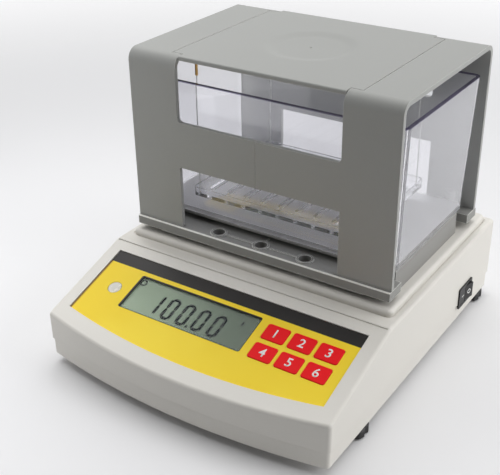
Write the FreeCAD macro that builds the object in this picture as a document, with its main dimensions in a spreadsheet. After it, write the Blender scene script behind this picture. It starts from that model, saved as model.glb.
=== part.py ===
import FreeCAD, Part
import math
import os

import Sketcher
from FreeCAD import Placement, Rotation, Vector

# Electronic gold tester: a table-top balance that weighs a sample in air, on its top plate, and then
# in water, on a slotted tray that hangs in a clear tank.
# Millimetres, +Z up, front towards -Y, origin on the table under the middle of the housing.

SIZES = {
    # Two-part housing
    "housing_width": 202.0,
    "housing_depth": 238.0,
    "front_bow": 10.5,
    "housing_wall": 2.5,
    "lower_shell_height": 11.3,
    "lower_shell_inset": 0.8,
    "front_edge_height": 29.9,
    "deck_height": 51.9,
    "panel_run": 68.9,
    "housing_corner": 2.5,
    "top_edge_round": 2.2,
    "plateau_side_gap": 5.5,
    "plateau_depth": 145.3,
    "plateau_gap": 9.3,
    "plateau_height": 3.9,
    "plateau_corner": 4.0,
    "plateau_round": 2.5,
    "parting_groove_height": 0.7,
    "parting_groove_depth": 1.0,
    "trim_groove_width": 1.0,
    "trim_groove_depth": 0.6,
    "trim_groove_setback": 1.0,
    "shell_boss_radius": 4.0,
    "shell_screw_radius": 1.4,
    "front_screw_side": 8.0,
    "front_screw_setback": 21.5,
    "rear_screw_side": 35.0,
    "rear_screw_setback": 12.0,
    "screw_head_radius": 2.8,
    "screw_head_height": 2.0,
    "shell_screw_length": 14.0,
    # Levelling feet
    "foot_height": 6.5,
    "foot_radius": 11.0,
    "foot_gap": 0.3,
    "foot_lobe_radius": 3.2,
    "foot_lobe_depth": 1.1,
    "foot_pad_radius": 8.5,
    "foot_pad_thickness": 1.0,
    "foot_stud_radius": 3.0,
    "foot_stud_length": 7.5,
    "foot_side": 10.5,
    "front_foot_setback": 42.5,
    "rear_foot_setback": 12.5,
    "insert_radius": 4.2,
    "insert_height": 6.0,
    "insert_wall": 2.2,
    "fit_clearance": 0.05,
    # Control panel
    "overlay_side_gap": 9.8,
    "overlay_length": 52.8,
    "overlay_margin": 9.65,
    "overlay_bow": 9.2,
    "overlay_thickness": 0.4,
    "overlay_sink": 0.6,
    "overlay_clearance": 0.15,
    "window_level_gap": 12.7,
    "window_key_gap": 6.05,
    "window_bottom": 13.3,
    "window_top": 39.4,
    "lens_rim": 1.5,
    "lens_thickness": 1.0,
    "lens_clearance": 0.2,
    "lcd_thickness": 3.0,
    "backlight_thickness": 4.0,
    "key_width": 15.1,
    "key_length": 11.5,
    "key_corner": 1.5,
    "key_pitch_x": 17.65,
    "key_pitch_y": 14.8,
    "key_side_gap": 6.95,
    "key_first_y": 17.95,
    "key_proud": 0.5,
    "key_edge": 0.3,
    "key_clearance": 0.2,
    "key_flange": 0.9,
    "key_flange_thickness": 1.0,
    "key_flange_gap": 0.2,
    "key_stem_radius": 2.0,
    "key_stem_length": 0.7,
    "key_travel": 0.5,
    "key_switch_gap": 0.1,
    "switch_side": 6.0,
    "switch_tip_radius": 1.7,
    "switch_tip_height": 0.4,
    "level_side_gap": 17.2,
    "level_y": 24.7,
    "vial_radius": 3.2,
    "vial_height": 6.0,
    "vial_drop": 3.2,
    "vial_chamfer": 0.4,
    "level_window_radius": 4.35,
    "level_window_thickness": 1.2,
    "level_window_sink": 0.05,
    "level_window_clearance": 0.3,
    "level_sight_radius": 3.5,
    "holder_wall": 1.5,
    "display_board_side": 5.0,
    "display_board_edge": 7.5,
    "board_thickness": 1.6,
    "display_screw_inset": 3.0,
    "small_screw_radius": 1.1,
    "small_head_radius": 2.0,
    "small_head_height": 1.4,
    "small_screw_length": 5.0,
    "small_boss_radius": 2.6,
    # Main board
    "main_board_left": 58.0,
    "main_board_right": 38.0,
    "main_board_front": 92.0,
    "main_board_rear": 38.0,
    "processor_left": -30.0,
    "processor_front": -76.0,
    "processor_width": 12.0,
    "processor_depth": 12.0,
    "processor_height": 1.6,
    "converter_left": -2.0,
    "converter_front": -72.0,
    "converter_width": 10.0,
    "converter_depth": 7.5,
    "converter_height": 2.0,
    "regulator_left": 16.0,
    "regulator_front": -84.0,
    "regulator_width": 8.0,
    "regulator_depth": 14.0,
    "regulator_height": 6.0,
    "capacitor_left": -50.0,
    "capacitor_front": -60.0,
    "capacitor_width": 9.0,
    "capacitor_depth": 16.0,
    "capacitor_height": 7.0,
    "connector_left": -30.0,
    "connector_front": -50.0,
    "connector_width": 26.0,
    "connector_depth": 5.0,
    "connector_height": 5.5,
    "standoff_height": 5.0,
    "standoff_radius": 3.0,
    "standoff_inset": 4.5,
    # Weighing frame
    "frame_width": 185.0,
    "frame_depth": 125.5,
    "frame_height": 113.0,
    "frame_centre_y": 37.75,
    "frame_wall": 2.8,
    "frame_round": 7.4,
    "opening_width": 114.0,
    "opening_corner": 3.0,
    "window_height": 41.8,
    "band_height": 30.1,
    "seam_chamfer": 0.25,
    "frame_boss_radius": 3.6,
    "frame_boss_height": 12.0,
    "frame_boss_x": 75.0,
    "frame_boss_offset": 3.0,
    "frame_screw_length": 10.0,
    "floor_clearance": 3.6,
    "floor_lip_height": 6.2,
    "floor_lip_proud": 1.8,
    "floor_lip_round": 1.5,
    "floor_wall": 2.5,
    "floor_cutout_width": 8.5,
    "floor_rib_drop": 1.7,
    "floor_rib_width": 149.0,
    "floor_rib_setback": 1.6,
    "ring_pitch": 31.9,
    "ring_from_front": 5.4,
    "ring_radius": 5.5,
    "ring_hole_radius": 4.1,
    "ring_height": 0.8,
    "ring_tube_wall": 1.2,
    "ring_line_width": 1.0,
    "ring_line_height": 0.5,
    "ring_rib_length": 10.0,
    # Top plate and basket
    "plate_width": 129.2,
    "plate_clearance": 0.5,
    "plate_setback": 3.0,
    "plate_thickness": 2.5,
    "plate_notch": 5.2,
    "plate_edge_round": 1.0,
    "ledge_width": 3.0,
    "ledge_thickness": 2.5,
    "dish_radius": 29.6,
    "dish_depth": 1.4,
    "dish_floor_radius": 22.5,
    "dish_side_depth": 1.1,
    "dish_blend": 20.0,
    "dimple_radius": 0.6,
    "dimple_depth": 0.4,
    "hanger_x": 56.0,
    "hanger_y": 42.5,
    "ferrule_radius": 0.9,
    "ferrule_length": 14.0,
    "wire_radius": 0.4,
    "wire_clearance": 0.3,
    "stopper_radius": 1.2,
    "stopper_height": 1.0,
    "tray_width": 120.0,
    "tray_depth": 91.0,
    "tray_above_tank_floor": 7.7,
    "tray_thickness": 2.0,
    "tray_height": 5.5,
    "tray_rim": 1.2,
    "tray_corner": 4.0,
    "tray_slot_pitch": 13.0,
    "tray_slot_width": 4.0,
    "tray_slot_length": 70.0,
    # Water tank and its bench
    "bench_height": 15.5,
    "bench_width": 177.2,
    "bench_depth": 80.0,
    "bench_wall": 2.5,
    "bench_clearance": 10.0,
    "bench_round": 1.2,
    "tank_width": 176.0,
    "tank_depth": 101.0,
    "tank_flare": 3.0,
    "tank_height": 89.3,
    "tank_wall": 2.5,
    "tank_corner": 5.0,
    # Load cell and pan support
    "cell_length": 80.0,
    "cell_width": 12.7,
    "cell_hole_radius": 4.0,
    "cell_hole_spacing": 16.0,
    "cell_slot_height": 3.0,
    "cell_end": 20.0,
    "cell_bolt_spacing": 12.0,
    "cell_bolt_radius": 2.0,
    "cell_bolt_clearance": 0.1,
    "cell_bolt_head_radius": 3.5,
    "cell_bolt_head_height": 3.0,
    "cell_bolt_reach": 6.0,
    "pedestal_height": 8.0,
    "pedestal_margin": 2.0,
    "cell_base_height": 6.0,
    "pan_boss_height": 3.0,
    "pan_support_width": 110.0,
    "pan_support_depth": 70.0,
    "pan_support_thickness": 3.0,
    "pan_window_width": 28.0,
    "pan_window_depth": 40.0,
    "pan_window_x": 27.0,
    "post_x": 45.0,
    "post_y": 25.0,
    "post_radius": 4.0,
    "post_collar_radius": 6.0,
    "post_collar_height": 3.0,
    "post_hole_radius": 6.5,
    "post_pad_wall": 1.2,
    "post_pad_cap": 1.5,
    "socket_wall": 1.8,
    "socket_clearance": 0.2,
    "socket_depth": 4.0,
    "stop_x": 36.0,
    "stop_y": 30.0,
    "stop_radius": 2.0,
    "stop_boss_radius": 4.0,
    "stop_boss_height": 16.0,
    "stop_gap": 0.7,
    # Power switch and supply inlet
    "rocker_centre_y": 73.7,
    "rocker_centre_z": 22.4,
    "bezel_length": 21.0,
    "bezel_height": 15.0,
    "bezel_thickness": 1.0,
    "bezel_border": 1.8,
    "switch_depth": 14.0,
    "switch_body_margin": 1.0,
    "switch_cutout_clearance": 0.2,
    "rocker_clearance": 0.3,
    "rocker_tilt": 6.0,
    "rocker_surface": 0.9,
    "rocker_edge": 1.2,
    "rocker_keel": 3.0,
    "rocker_pin_radius": 1.2,
    "rocker_pin_length": 0.5,
    "rocker_cavity": 5.5,
    "terminal_length": 8.0,
    "terminal_width": 4.8,
    "terminal_thickness": 0.8,
    "terminal_spacing": 7.0,
    "inlet_x": 48.0,
    "inlet_z": 28.0,
    "inlet_width": 9.0,
    "inlet_height": 11.0,
    "inlet_depth": 13.5,
    "inlet_bore_radius": 2.75,
    "inlet_bore_depth": 9.5,
    "inlet_pin_radius": 1.0,
    "inlet_recess": 0.6,
}


class Size:
    """A number together with the spreadsheet expression that gives it."""

    def __init__(self, value, text):
        self.value = value
        self.text = text

    def __add__(self, other):
        other = as_size(other)
        return Size(self.value + other.value, f"({self.text} + {other.text})")

    def __sub__(self, other):
        other = as_size(other)
        return Size(self.value - other.value, f"({self.text} - {other.text})")

    def __mul__(self, other):
        other = as_size(other)
        return Size(self.value * other.value, f"({self.text} * {other.text})")

    def __truediv__(self, other):
        other = as_size(other)
        return Size(self.value / other.value, f"({self.text} / {other.text})")

    def __radd__(self, other):
        return as_size(other) + self

    def __rsub__(self, other):
        return as_size(other) - self

    def __rmul__(self, other):
        return as_size(other) * self

    def __neg__(self):
        return Size(-self.value, f"(0 - {self.text})")


def as_size(number):
    return number if isinstance(number, Size) else Size(float(number), repr(float(number)))


def root(size):
    return Size(math.sqrt(size.value), f"sqrt({size.text})")


class SheetSizes:
    """The spreadsheet of driving dimensions, read by name."""

    def __init__(self, document, table):
        sheet = document.addObject("Spreadsheet::Sheet", "Sizes")
        for row, (name, number) in enumerate(table.items(), start=1):
            sheet.set(f"A{row}", name)
            sheet.set(f"B{row}", str(number))
            sheet.setAlias(f"B{row}", name)
            setattr(self, name, Size(number, f"Sizes.{name}"))


document = FreeCAD.newDocument("GoldTester")
size = SheetSizes(document, SIZES)
document.recompute()

# Places that several pieces share, all worked out from the sheet
half_width = size.housing_width / 2
rear_y = size.housing_depth / 2
front_peak_y = -rear_y
front_y = front_peak_y + size.front_bow
crease_y = front_y + size.panel_run
base_z = size.foot_height
parting_z = base_z + size.lower_shell_height
front_z = base_z + size.front_edge_height
deck_z = base_z + size.deck_height
plateau_z = deck_z + size.plateau_height
floor_inside_z = base_z + size.housing_wall
bow_radius = (half_width * half_width + size.front_bow * size.front_bow) / (2 * size.front_bow)
bow_centre_y = front_peak_y + bow_radius

panel_rise = deck_z - front_z
panel_length = root(size.panel_run * size.panel_run + panel_rise * panel_rise)
panel_sine = panel_rise / panel_length
panel_cosine = size.panel_run / panel_length
panel_tangent = panel_rise / size.panel_run
panel_slope = Size(math.degrees(math.atan(panel_tangent.value)), f"atan({panel_tangent.text})")
overlay_bottom = -(size.overlay_margin + size.overlay_length)

frame_front_y = size.frame_centre_y - size.frame_depth / 2
frame_rear_y = size.frame_centre_y + size.frame_depth / 2
floor_bottom_z = plateau_z + size.floor_clearance
floor_top_z = floor_bottom_z + size.floor_lip_height
frame_top_z = floor_top_z + size.frame_height
frame_half = size.frame_width / 2
opening_half = size.opening_width / 2
plate_bottom_z = frame_top_z - size.plate_thickness
bench_top_z = plateau_z + size.bench_height
tank_floor_z = bench_top_z + size.tank_wall
tray_bottom_z = tank_floor_z + size.tray_above_tank_floor
ferrule_bottom_z = plate_bottom_z - size.ferrule_length

pedestal_top_z = floor_inside_z + size.pedestal_height
cell_bottom_z = pedestal_top_z + size.cell_base_height
cell_top_z = cell_bottom_z + size.cell_width
pan_bottom_z = cell_top_z + size.pan_boss_height
pan_top_z = pan_bottom_z + size.pan_support_thickness
floor_underside_z = floor_top_z - size.floor_wall
cell_front_y = size.frame_centre_y - size.cell_length / 2
cell_rear_y = size.frame_centre_y + size.cell_length / 2

film_top = -size.overlay_sink
lens_top = film_top - size.overlay_thickness
lcd_top = lens_top - size.lens_thickness
lcd_bottom = lcd_top - size.lcd_thickness
display_board_top = lcd_bottom - size.backlight_thickness
level_window_top = film_top - size.level_window_sink
key_top = film_top + size.key_proud
key_flange_top = -(size.housing_wall + size.key_flange_gap)
key_flange_bottom = key_flange_top - size.key_flange_thickness
key_stem_bottom = key_flange_bottom - size.key_stem_length
switch_tip_top = key_stem_bottom - size.key_travel - size.key_switch_gap
main_board_bottom_z = floor_inside_z + size.standoff_height
main_board_top_z = main_board_bottom_z + size.board_thickness

foot_x = half_width - size.foot_side
front_foot_y = front_y + size.front_foot_setback
rear_foot_y = rear_y - size.rear_foot_setback
FEET = {
    "front_left": (-foot_x, front_foot_y),
    "front_right": (foot_x, front_foot_y),
    "rear_left": (-foot_x, rear_foot_y),
    "rear_right": (foot_x, rear_foot_y),
}
front_screw_x = half_width - size.front_screw_side
rear_screw_x = half_width - size.rear_screw_side
FRONT_SCREWS = [(i * front_screw_x, front_y + size.front_screw_setback) for i in (-1, 1)]
REAR_SCREWS = [(i * rear_screw_x, rear_y - size.rear_screw_setback) for i in (-1, 1)]
overlay_half = half_width - size.overlay_side_gap
level_x = overlay_half - size.level_side_gap
window_left = level_x - size.window_level_gap
key_first_x = overlay_half - size.key_side_gap - size.key_width / 2 - 2 * size.key_pitch_x
window_right = key_first_x - size.key_width / 2 - size.window_key_gap
KEY_PLACES = [
    (key_first_x + column * size.key_pitch_x, size.key_first_y + row * size.key_pitch_y)
    for row in (1, 0)
    for column in (0, 1, 2)
]
FOOT_LOBES = 8
TRAY_SLOTS = 9
BOARD_PARTS = ("processor", "converter", "regulator", "capacitor", "connector")
NEAR = 0.01


def around(centre_x, centre_y, reach_x, reach_y):
    """The four corners of a rectangle about a centre."""
    signs = ((-1, -1), (1, -1), (-1, 1), (1, 1))
    return [(centre_x + i * reach_x, centre_y + j * reach_y) for i, j in signs]


POSTS = around(0, size.frame_centre_y, size.post_x, size.post_y)
HANGERS = around(0, size.frame_centre_y, size.hanger_x, size.hanger_y)
STOPS = around(0, size.frame_centre_y, size.stop_x, size.stop_y)
BOARD_HOLES = around(
    (size.main_board_right - size.main_board_left) / 2,
    -(size.main_board_front + size.main_board_rear) / 2,
    (size.main_board_right + size.main_board_left) / 2 - size.standoff_inset,
    (size.main_board_front - size.main_board_rear) / 2 - size.standoff_inset,
)
frame_boss_y = size.frame_depth / 2 - size.frame_wall - size.frame_boss_offset


# --- Sketching and feature helpers ---------------------------------------------------------------


def bind(thing, prop, number):
    thing.setExpression(prop, as_size(number).text)


def new_body(label):
    body = document.addObject("PartDesign::Body", label)
    body.Label = label
    return body


def lay_on_panel(body):
    """The body's XY plane becomes the sloped panel's surface, its origin the middle of the crease."""
    body.Placement = Placement(Vector(0, 0, 0), Rotation(Vector(1, 0, 0), 1))
    bind(body, "Placement.Rotation.Angle", panel_slope)
    bind(body, "Placement.Base.y", crease_y)
    bind(body, "Placement.Base.z", deck_z)


def sketch_on(body, plane, level=0):
    """A sketch parallel to an origin plane, at the given X, Y or Z."""
    sketch = body.newObject("Sketcher::SketchObject", "Sketch")
    support = next(item for item in body.Origin.OriginFeatures if item.Role == plane + "_Plane")
    sketch.AttachmentSupport = [(support, "")]
    sketch.MapMode = "FlatFace"
    bind(sketch, "AttachmentOffset.Base.z", -as_size(level) if plane == "XZ" else level)
    return sketch


def sketch_on_panel(body, depth=0):
    """A sketch parallel to the sloped panel, a depth under its surface."""
    sketch = sketch_on(body, "XY")
    sketch.AttachmentOffset = Placement(Vector(0, 0, 0), Rotation(Vector(1, 0, 0), 1))
    bind(sketch, "AttachmentOffset.Rotation.Angle", panel_slope)
    bind(sketch, "AttachmentOffset.Base.y", crease_y + depth * panel_sine)
    bind(sketch, "AttachmentOffset.Base.z", deck_z - depth * panel_cosine)
    return sketch


def fix_point(sketch, geometry, position, x, y):
    for kind, number in (("DistanceX", x), ("DistanceY", y)):
        number = as_size(number)
        rule = Sketcher.Constraint(kind, -1, 1, geometry, position, number.value)
        bind(sketch, f"Constraints[{sketch.addConstraint(rule)}]", number)


def outline(sketch, *points):
    """Close a chain of corners. A corner reached by an arc also gives the arc's centre and turn,
    1 for anticlockwise and -1 for clockwise."""
    points = [tuple(as_size(number) for number in point) for point in points]
    first = sketch.GeometryCount
    edges = []
    for start, end in zip(points, points[1:] + points[:1]):
        start_at = Vector(start[0].value, start[1].value, 0)
        end_at = Vector(end[0].value, end[1].value, 0)
        if len(end) == 2:
            edges.append(Part.LineSegment(start_at, end_at))
            continue
        centre = Vector(end[2].value, end[3].value, 0)
        if end[4].value < 0:
            start_at, end_at = end_at, start_at
        angles = [math.atan2(at.y - centre.y, at.x - centre.x) for at in (start_at, end_at)]
        circle_line = Part.Circle(centre, Vector(0, 0, 1), (start_at - centre).Length)
        edges.append(Part.ArcOfCircle(circle_line, angles[0], angles[1]))
    sketch.addGeometry(edges, False)
    targets = points[1:] + points[:1]
    heads = [2 if len(end) > 2 and end[4].value < 0 else 1 for end in targets]
    for index, (start, end) in enumerate(zip(points, targets)):
        following = (index + 1) % len(points)
        rule = Sketcher.Constraint(
            "Coincident", first + index, 3 - heads[index], first + following, heads[following]
        )
        sketch.addConstraint(rule)
        fix_point(sketch, first + index, heads[index], start[0], start[1])
        if len(end) > 2:
            across = abs(end[1].value - start[1].value) > abs(end[0].value - start[0].value)
            kind, number = ("DistanceX", end[2]) if across else ("DistanceY", end[3])
            rule = Sketcher.Constraint(kind, -1, 1, first + index, 3, number.value)
            bind(sketch, f"Constraints[{sketch.addConstraint(rule)}]", number)


def box_outline(sketch, left, right, bottom, top):
    outline(sketch, (left, bottom), (right, bottom), (right, top), (left, top))


def rounded_outline(sketch, left, right, bottom, top, radius):
    left, right, bottom, top = (as_size(edge) for edge in (left, right, bottom, top))
    outline(
        sketch,
        (left + radius, bottom, left + radius, bottom + radius, 1),
        (right - radius, bottom),
        (right, bottom + radius, right - radius, bottom + radius, 1),
        (right, top - radius),
        (right - radius, top, right - radius, top - radius, 1),
        (left + radius, top),
        (left, top - radius, left + radius, top - radius, 1),
        (left, bottom + radius),
    )


def slot_outline(sketch, x, bottom, top, width):
    half = width / 2
    outline(
        sketch,
        (x + half, bottom + half, x, bottom + half, 1),
        (x + half, top - half),
        (x - half, top - half, x, top - half, 1),
        (x - half, bottom + half),
    )


def circle(sketch, x, y, radius):
    x, y, radius = as_size(x), as_size(y), as_size(radius)
    ring = Part.Circle(Vector(x.value, y.value, 0), Vector(0, 0, 1), radius.value)
    index = sketch.addGeometry(ring, False)
    rule = sketch.addConstraint(Sketcher.Constraint("Radius", index, radius.value))
    bind(sketch, f"Constraints[{rule}]", radius)
    fix_point(sketch, index, 3, x, y)


def circles(sketch, places, radius):
    for x, y in places:
        circle(sketch, x, y, radius)


def bowed_outline(sketch, inset):
    """The housing's plan: straight sides and rear, and a front bowed about one centre."""
    side = half_width - inset
    radius = bow_radius - inset
    corner_y = bow_centre_y - root(radius * radius - side * side)
    outline(
        sketch,
        (side, rear_y - inset),
        (-side, rear_y - inset),
        (-side, corner_y),
        (side, corner_y, 0, bow_centre_y, 1),
    )


def extrude(kind, sketch, length, reverse, symmetric):
    body = sketch.getParentGeoFeatureGroup()
    feature = body.newObject(kind, kind.split("::")[1])
    feature.Profile = sketch
    feature.Reversed = reverse
    feature.SideType = "Symmetric" if symmetric else "One side"
    bind(feature, "Length", length)
    return feature


def pad(sketch, length, reverse=False, symmetric=False):
    return extrude("PartDesign::Pad", sketch, length, reverse, symmetric)


def pocket(sketch, depth, reverse=False, symmetric=False):
    return extrude("PartDesign::Pocket", sketch, depth, reverse, symmetric)


def pad_to_wall(sketch):
    """Pad that stops where it first meets the body."""
    body = sketch.getParentGeoFeatureGroup()
    feature = body.newObject("PartDesign::Pad", "Pad")
    feature.Profile = sketch
    feature.Type = "UpToFirst"
    return feature


def hollow(body, wall, open_face):
    """Shell the body inwards to one wall thickness, open at the chosen face."""
    document.recompute()
    base = body.Tip
    faces = [f"Face{i}" for i, face in enumerate(base.Shape.Faces, start=1) if open_face(face)]
    feature = body.newObject("PartDesign::Thickness", "Walls")
    feature.Base = (base, faces)
    feature.Reversed = True
    feature.Join = "Intersection"
    bind(feature, "Value", wall)
    return feature


def dress(kind, prop, body, amount, wanted):
    """Round or chamfer the edges that the test picks."""
    document.recompute()
    base = body.Tip
    names = [f"Edge{i}" for i, edge in enumerate(base.Shape.Edges, start=1) if wanted(edge)]
    feature = body.newObject(kind, kind.split("::")[1])
    feature.Base = (base, names)
    bind(feature, prop, amount)
    return feature


def fillet(body, radius, wanted):
    return dress("PartDesign::Fillet", "Radius", body, radius, wanted)


def chamfer(body, width, wanted):
    return dress("PartDesign::Chamfer", "Size", body, width, wanted)


def upright(edge):
    direction = edge.tangentAt(edge.FirstParameter)
    return abs(direction.z) > 1 - NEAR


def flat_at(level):
    """Test for a face or edge that lies in one horizontal plane."""

    def test(item):
        box = item.BoundBox
        return abs(box.ZMin - level.value) < NEAR and abs(box.ZMax - level.value) < NEAR

    return test


def slab(body, left, right, front, rear, bottom, top, radius=None):
    """A plate with its faces level, square or with rounded corners."""
    sketch = sketch_on(body, "XY", bottom)
    if radius is None:
        box_outline(sketch, left, right, front, rear)
    else:
        rounded_outline(sketch, left, right, front, rear, radius)
    return pad(sketch, top - bottom)


def columns(body, places, radius, bottom, top):
    sketch = sketch_on(body, "XY", bottom)
    circles(sketch, places, radius)
    return pad(sketch, top - bottom)


def bores(body, places, radius, bottom, top):
    sketch = sketch_on(body, "XY", top)
    circles(sketch, places, radius)
    return pocket(sketch, top - bottom)


def screws(label, places, head, shank, head_above):
    """Group of screws; head and shank are (radius, length) and the level is under the head."""
    body = new_body(label)
    level, upwards = head_above
    head_radius, head_length = head
    shank_radius, shank_length = shank
    if upwards:
        columns(body, places, head_radius, level - head_length, level)
        columns(body, places, shank_radius, level, level + shank_length)
    else:
        columns(body, places, shank_radius, level - shank_length, level)
        columns(body, places, head_radius, level, level + head_length)
    return body


# --- Housing ---------------------------------------------------------------------------------------


def cut_switch_opening(body):
    reach_y = size.bezel_length / 2 - size.switch_body_margin + size.switch_cutout_clearance
    reach_z = size.bezel_height / 2 - size.switch_body_margin + size.switch_cutout_clearance
    opening = sketch_on(body, "YZ", half_width - 2 * size.housing_wall)
    box_outline(
        opening,
        size.rocker_centre_y - reach_y,
        size.rocker_centre_y + reach_y,
        size.rocker_centre_z - reach_z,
        size.rocker_centre_z + reach_z,
    )
    pocket(opening, 3 * size.housing_wall, reverse=True)


def make_lower_housing():
    body = new_body("lower_housing")
    plan = sketch_on(body, "XY", base_z)
    bowed_outline(plan, size.lower_shell_inset)
    pad(plan, size.lower_shell_height)
    hollow(body, size.housing_wall, flat_at(parting_z))
    fillet(body, size.housing_corner, lower_corner_edge)
    columns(body, FRONT_SCREWS + REAR_SCREWS, size.shell_boss_radius, base_z, parting_z)
    insert_top_z = base_z + size.insert_height
    insert_boss = size.insert_radius + size.insert_wall
    columns(body, FEET.values(), insert_boss, base_z, insert_top_z)
    columns(body, BOARD_HOLES, size.standoff_radius, base_z, main_board_bottom_z)
    columns(body, STOPS, size.stop_boss_radius, base_z, floor_inside_z + size.stop_boss_height)
    reach = size.cell_width / 2 + size.pedestal_margin
    slab(
        body,
        -reach,
        reach,
        cell_front_y - size.pedestal_margin,
        cell_front_y + size.cell_end + size.pedestal_margin,
        base_z,
        pedestal_top_z,
    )
    clear = size.shell_screw_radius + size.cell_bolt_clearance
    bores(body, FRONT_SCREWS + REAR_SCREWS, clear, base_z, parting_z)
    head_seat_z = base_z + size.screw_head_height
    head_bore = size.screw_head_radius + size.cell_bolt_clearance
    bores(body, FRONT_SCREWS + REAR_SCREWS, head_bore, base_z, head_seat_z)
    bores(body, FEET.values(), size.insert_radius + size.fit_clearance, base_z, insert_top_z)
    hole = size.small_screw_radius + size.fit_clearance
    bores(body, BOARD_HOLES, hole, floor_inside_z, main_board_bottom_z)
    bolt_hole = size.cell_bolt_radius + size.cell_bolt_clearance
    bolt_head = size.cell_bolt_head_radius + size.cell_bolt_clearance
    bores(body, cell_bolt_places(cell_front_y), bolt_hole, base_z, pedestal_top_z)
    bolt_seat_z = base_z + size.cell_bolt_head_height
    bores(body, cell_bolt_places(cell_front_y), bolt_head, base_z, bolt_seat_z)
    stop_top_z = floor_inside_z + size.stop_boss_height
    bores(body, STOPS, size.stop_radius + size.fit_clearance, floor_inside_z, stop_top_z)
    shadow_line = sketch_on(body, "XY", parting_z)
    bowed_outline(shadow_line, as_size(0))
    bowed_outline(shadow_line, size.lower_shell_inset + size.parting_groove_depth)
    pocket(shadow_line, size.parting_groove_height)
    cut_switch_opening(body)
    return body


def make_upper_housing():
    body = new_body("upper_housing")
    plan = sketch_on(body, "XY", parting_z)
    bowed_outline(plan, as_size(0))
    pad(plan, deck_z - parting_z)
    slope = sketch_on(body, "YZ")
    beyond = size.front_bow + size.housing_wall
    outline(
        slope,
        (crease_y, deck_z),
        (crease_y, deck_z + panel_rise),
        (front_peak_y - beyond, deck_z + panel_rise),
        (front_peak_y - beyond, front_z - (size.front_bow + beyond) * panel_tangent),
    )
    pocket(slope, 2 * size.housing_width, symmetric=True)
    plateau = sketch_on(body, "XY", deck_z)
    plateau_outline(plateau, as_size(0))
    pad(plateau, size.plateau_height)
    hollow(body, size.housing_wall, flat_at(parting_z))
    fillet(body, size.housing_corner, housing_corner_edge)
    fillet(body, size.top_edge_round, housing_top_edge)
    fillet(body, size.plateau_round, flat_at(plateau_z))
    for places in (FRONT_SCREWS, REAR_SCREWS):
        boss = sketch_on(body, "XY", parting_z)
        circles(boss, places, size.shell_boss_radius)
        circles(boss, places, size.shell_screw_radius)
        pad_to_wall(boss)
    cut_trim_grooves(body)
    cut_panel_openings(body)
    bores(body, POSTS, size.post_hole_radius, deck_z - 2 * size.housing_wall, plateau_z)
    cut_switch_opening(body)
    inlet = sketch_on(body, "XZ", rear_y)
    clear = size.switch_cutout_clearance
    box_outline(
        inlet,
        -size.inlet_x - size.inlet_width / 2 - clear,
        -size.inlet_x + size.inlet_width / 2 + clear,
        size.inlet_z - size.inlet_height / 2 - clear,
        size.inlet_z + size.inlet_height / 2 + clear,
    )
    pocket(inlet, 2 * size.housing_wall, reverse=True)
    return body


def lower_corner_edge(edge):
    middle = edge.CenterOfMass
    side = half_width.value - size.lower_shell_inset.value
    return upright(edge) and abs(abs(middle.x) - side) < NEAR


def housing_corner_edge(edge):
    middle = edge.CenterOfMass
    return upright(edge) and abs(abs(middle.x) - half_width.value) < NEAR


def housing_top_edge(edge):
    """Outer top edges: along both sides, the rear and the bowed front."""
    box = edge.BoundBox
    middle = edge.CenterOfMass
    if box.ZMin < front_z.value - size.front_bow.value or box.ZMax > deck_z.value + NEAR:
        return False
    along_side = abs(abs(middle.x) - half_width.value) < NEAR and not upright(edge)
    along_rear = abs(middle.y - rear_y.value) < NEAR and not upright(edge)
    along_front = box.YMax < front_y.value + size.housing_corner.value and not upright(edge)
    return along_side or along_rear or along_front


def plateau_outline(sketch, spread):
    half = half_width - size.plateau_side_gap + spread
    front = crease_y + size.plateau_gap
    rear = front + size.plateau_depth
    corner = size.plateau_corner + spread
    rounded_outline(sketch, -half, half, front - spread, rear + spread, corner)


def cut_trim_grooves(body):
    """Fine grooves across the top of the sloped panel and round the plateau's foot."""
    across = sketch_on_panel(body)
    reach = half_width - size.top_edge_round
    groove_top = -size.trim_groove_setback
    box_outline(across, -reach, reach, groove_top - size.trim_groove_width, groove_top)
    pocket(across, size.trim_groove_depth)
    around_foot = sketch_on(body, "XY", deck_z)
    plateau_outline(around_foot, as_size(0))
    plateau_outline(around_foot, size.trim_groove_width)
    pocket(around_foot, size.trim_groove_depth)


def cut_panel_openings(body):
    """Recess for the overlay, and the openings for the lens and keys, square to the sloped panel."""
    recess = sketch_on_panel(body)
    overlay_outline(recess, size.overlay_clearance)
    pocket(recess, -lens_top)
    openings = sketch_on_panel(body)
    rim = size.lens_rim + size.lens_clearance
    box_outline(
        openings,
        -window_left - rim,
        window_right + rim,
        overlay_bottom + size.window_bottom - rim,
        overlay_bottom + size.window_top + rim,
    )
    clear = size.key_clearance
    for x, y in KEY_PLACES:
        key_outline(openings, x, y, clear)
    pocket(openings, 2 * size.housing_wall)
    seat = sketch_on_panel(body)
    seat_radius = size.level_window_radius + size.level_window_clearance
    circle(seat, -level_x, overlay_bottom + size.level_y, seat_radius)
    pocket(seat, -level_window_top + size.level_window_thickness)
    sight = sketch_on(body, "XY", deck_z)
    circle(sight, -level_x, level_centre_y(), size.level_sight_radius)
    pocket(sight, deck_z - level_centre_z() + 3 * size.housing_wall)


def overlay_outline(sketch, spread):
    side = overlay_half + spread
    bottom = overlay_bottom - spread
    rise = size.overlay_bow
    radius = (side * side + rise * rise) / (2 * rise)
    outline(
        sketch,
        (side, -size.overlay_margin + spread),
        (-side, -size.overlay_margin + spread),
        (-side, bottom),
        (side, bottom, 0, bottom - rise + radius, 1),
    )


def key_outline(sketch, x, y, spread):
    half = size.key_width / 2 + spread
    reach = size.key_length / 2 + spread
    centre = overlay_bottom + y
    rounded_outline(
        sketch, x - half, x + half, centre - reach, centre + reach, size.key_corner + spread
    )


def level_centre_y():
    return crease_y + (overlay_bottom + size.level_y) * panel_cosine


def level_centre_z():
    return deck_z + (overlay_bottom + size.level_y) * panel_sine


# --- Control panel -------------------------------------------------------------------------------


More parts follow.
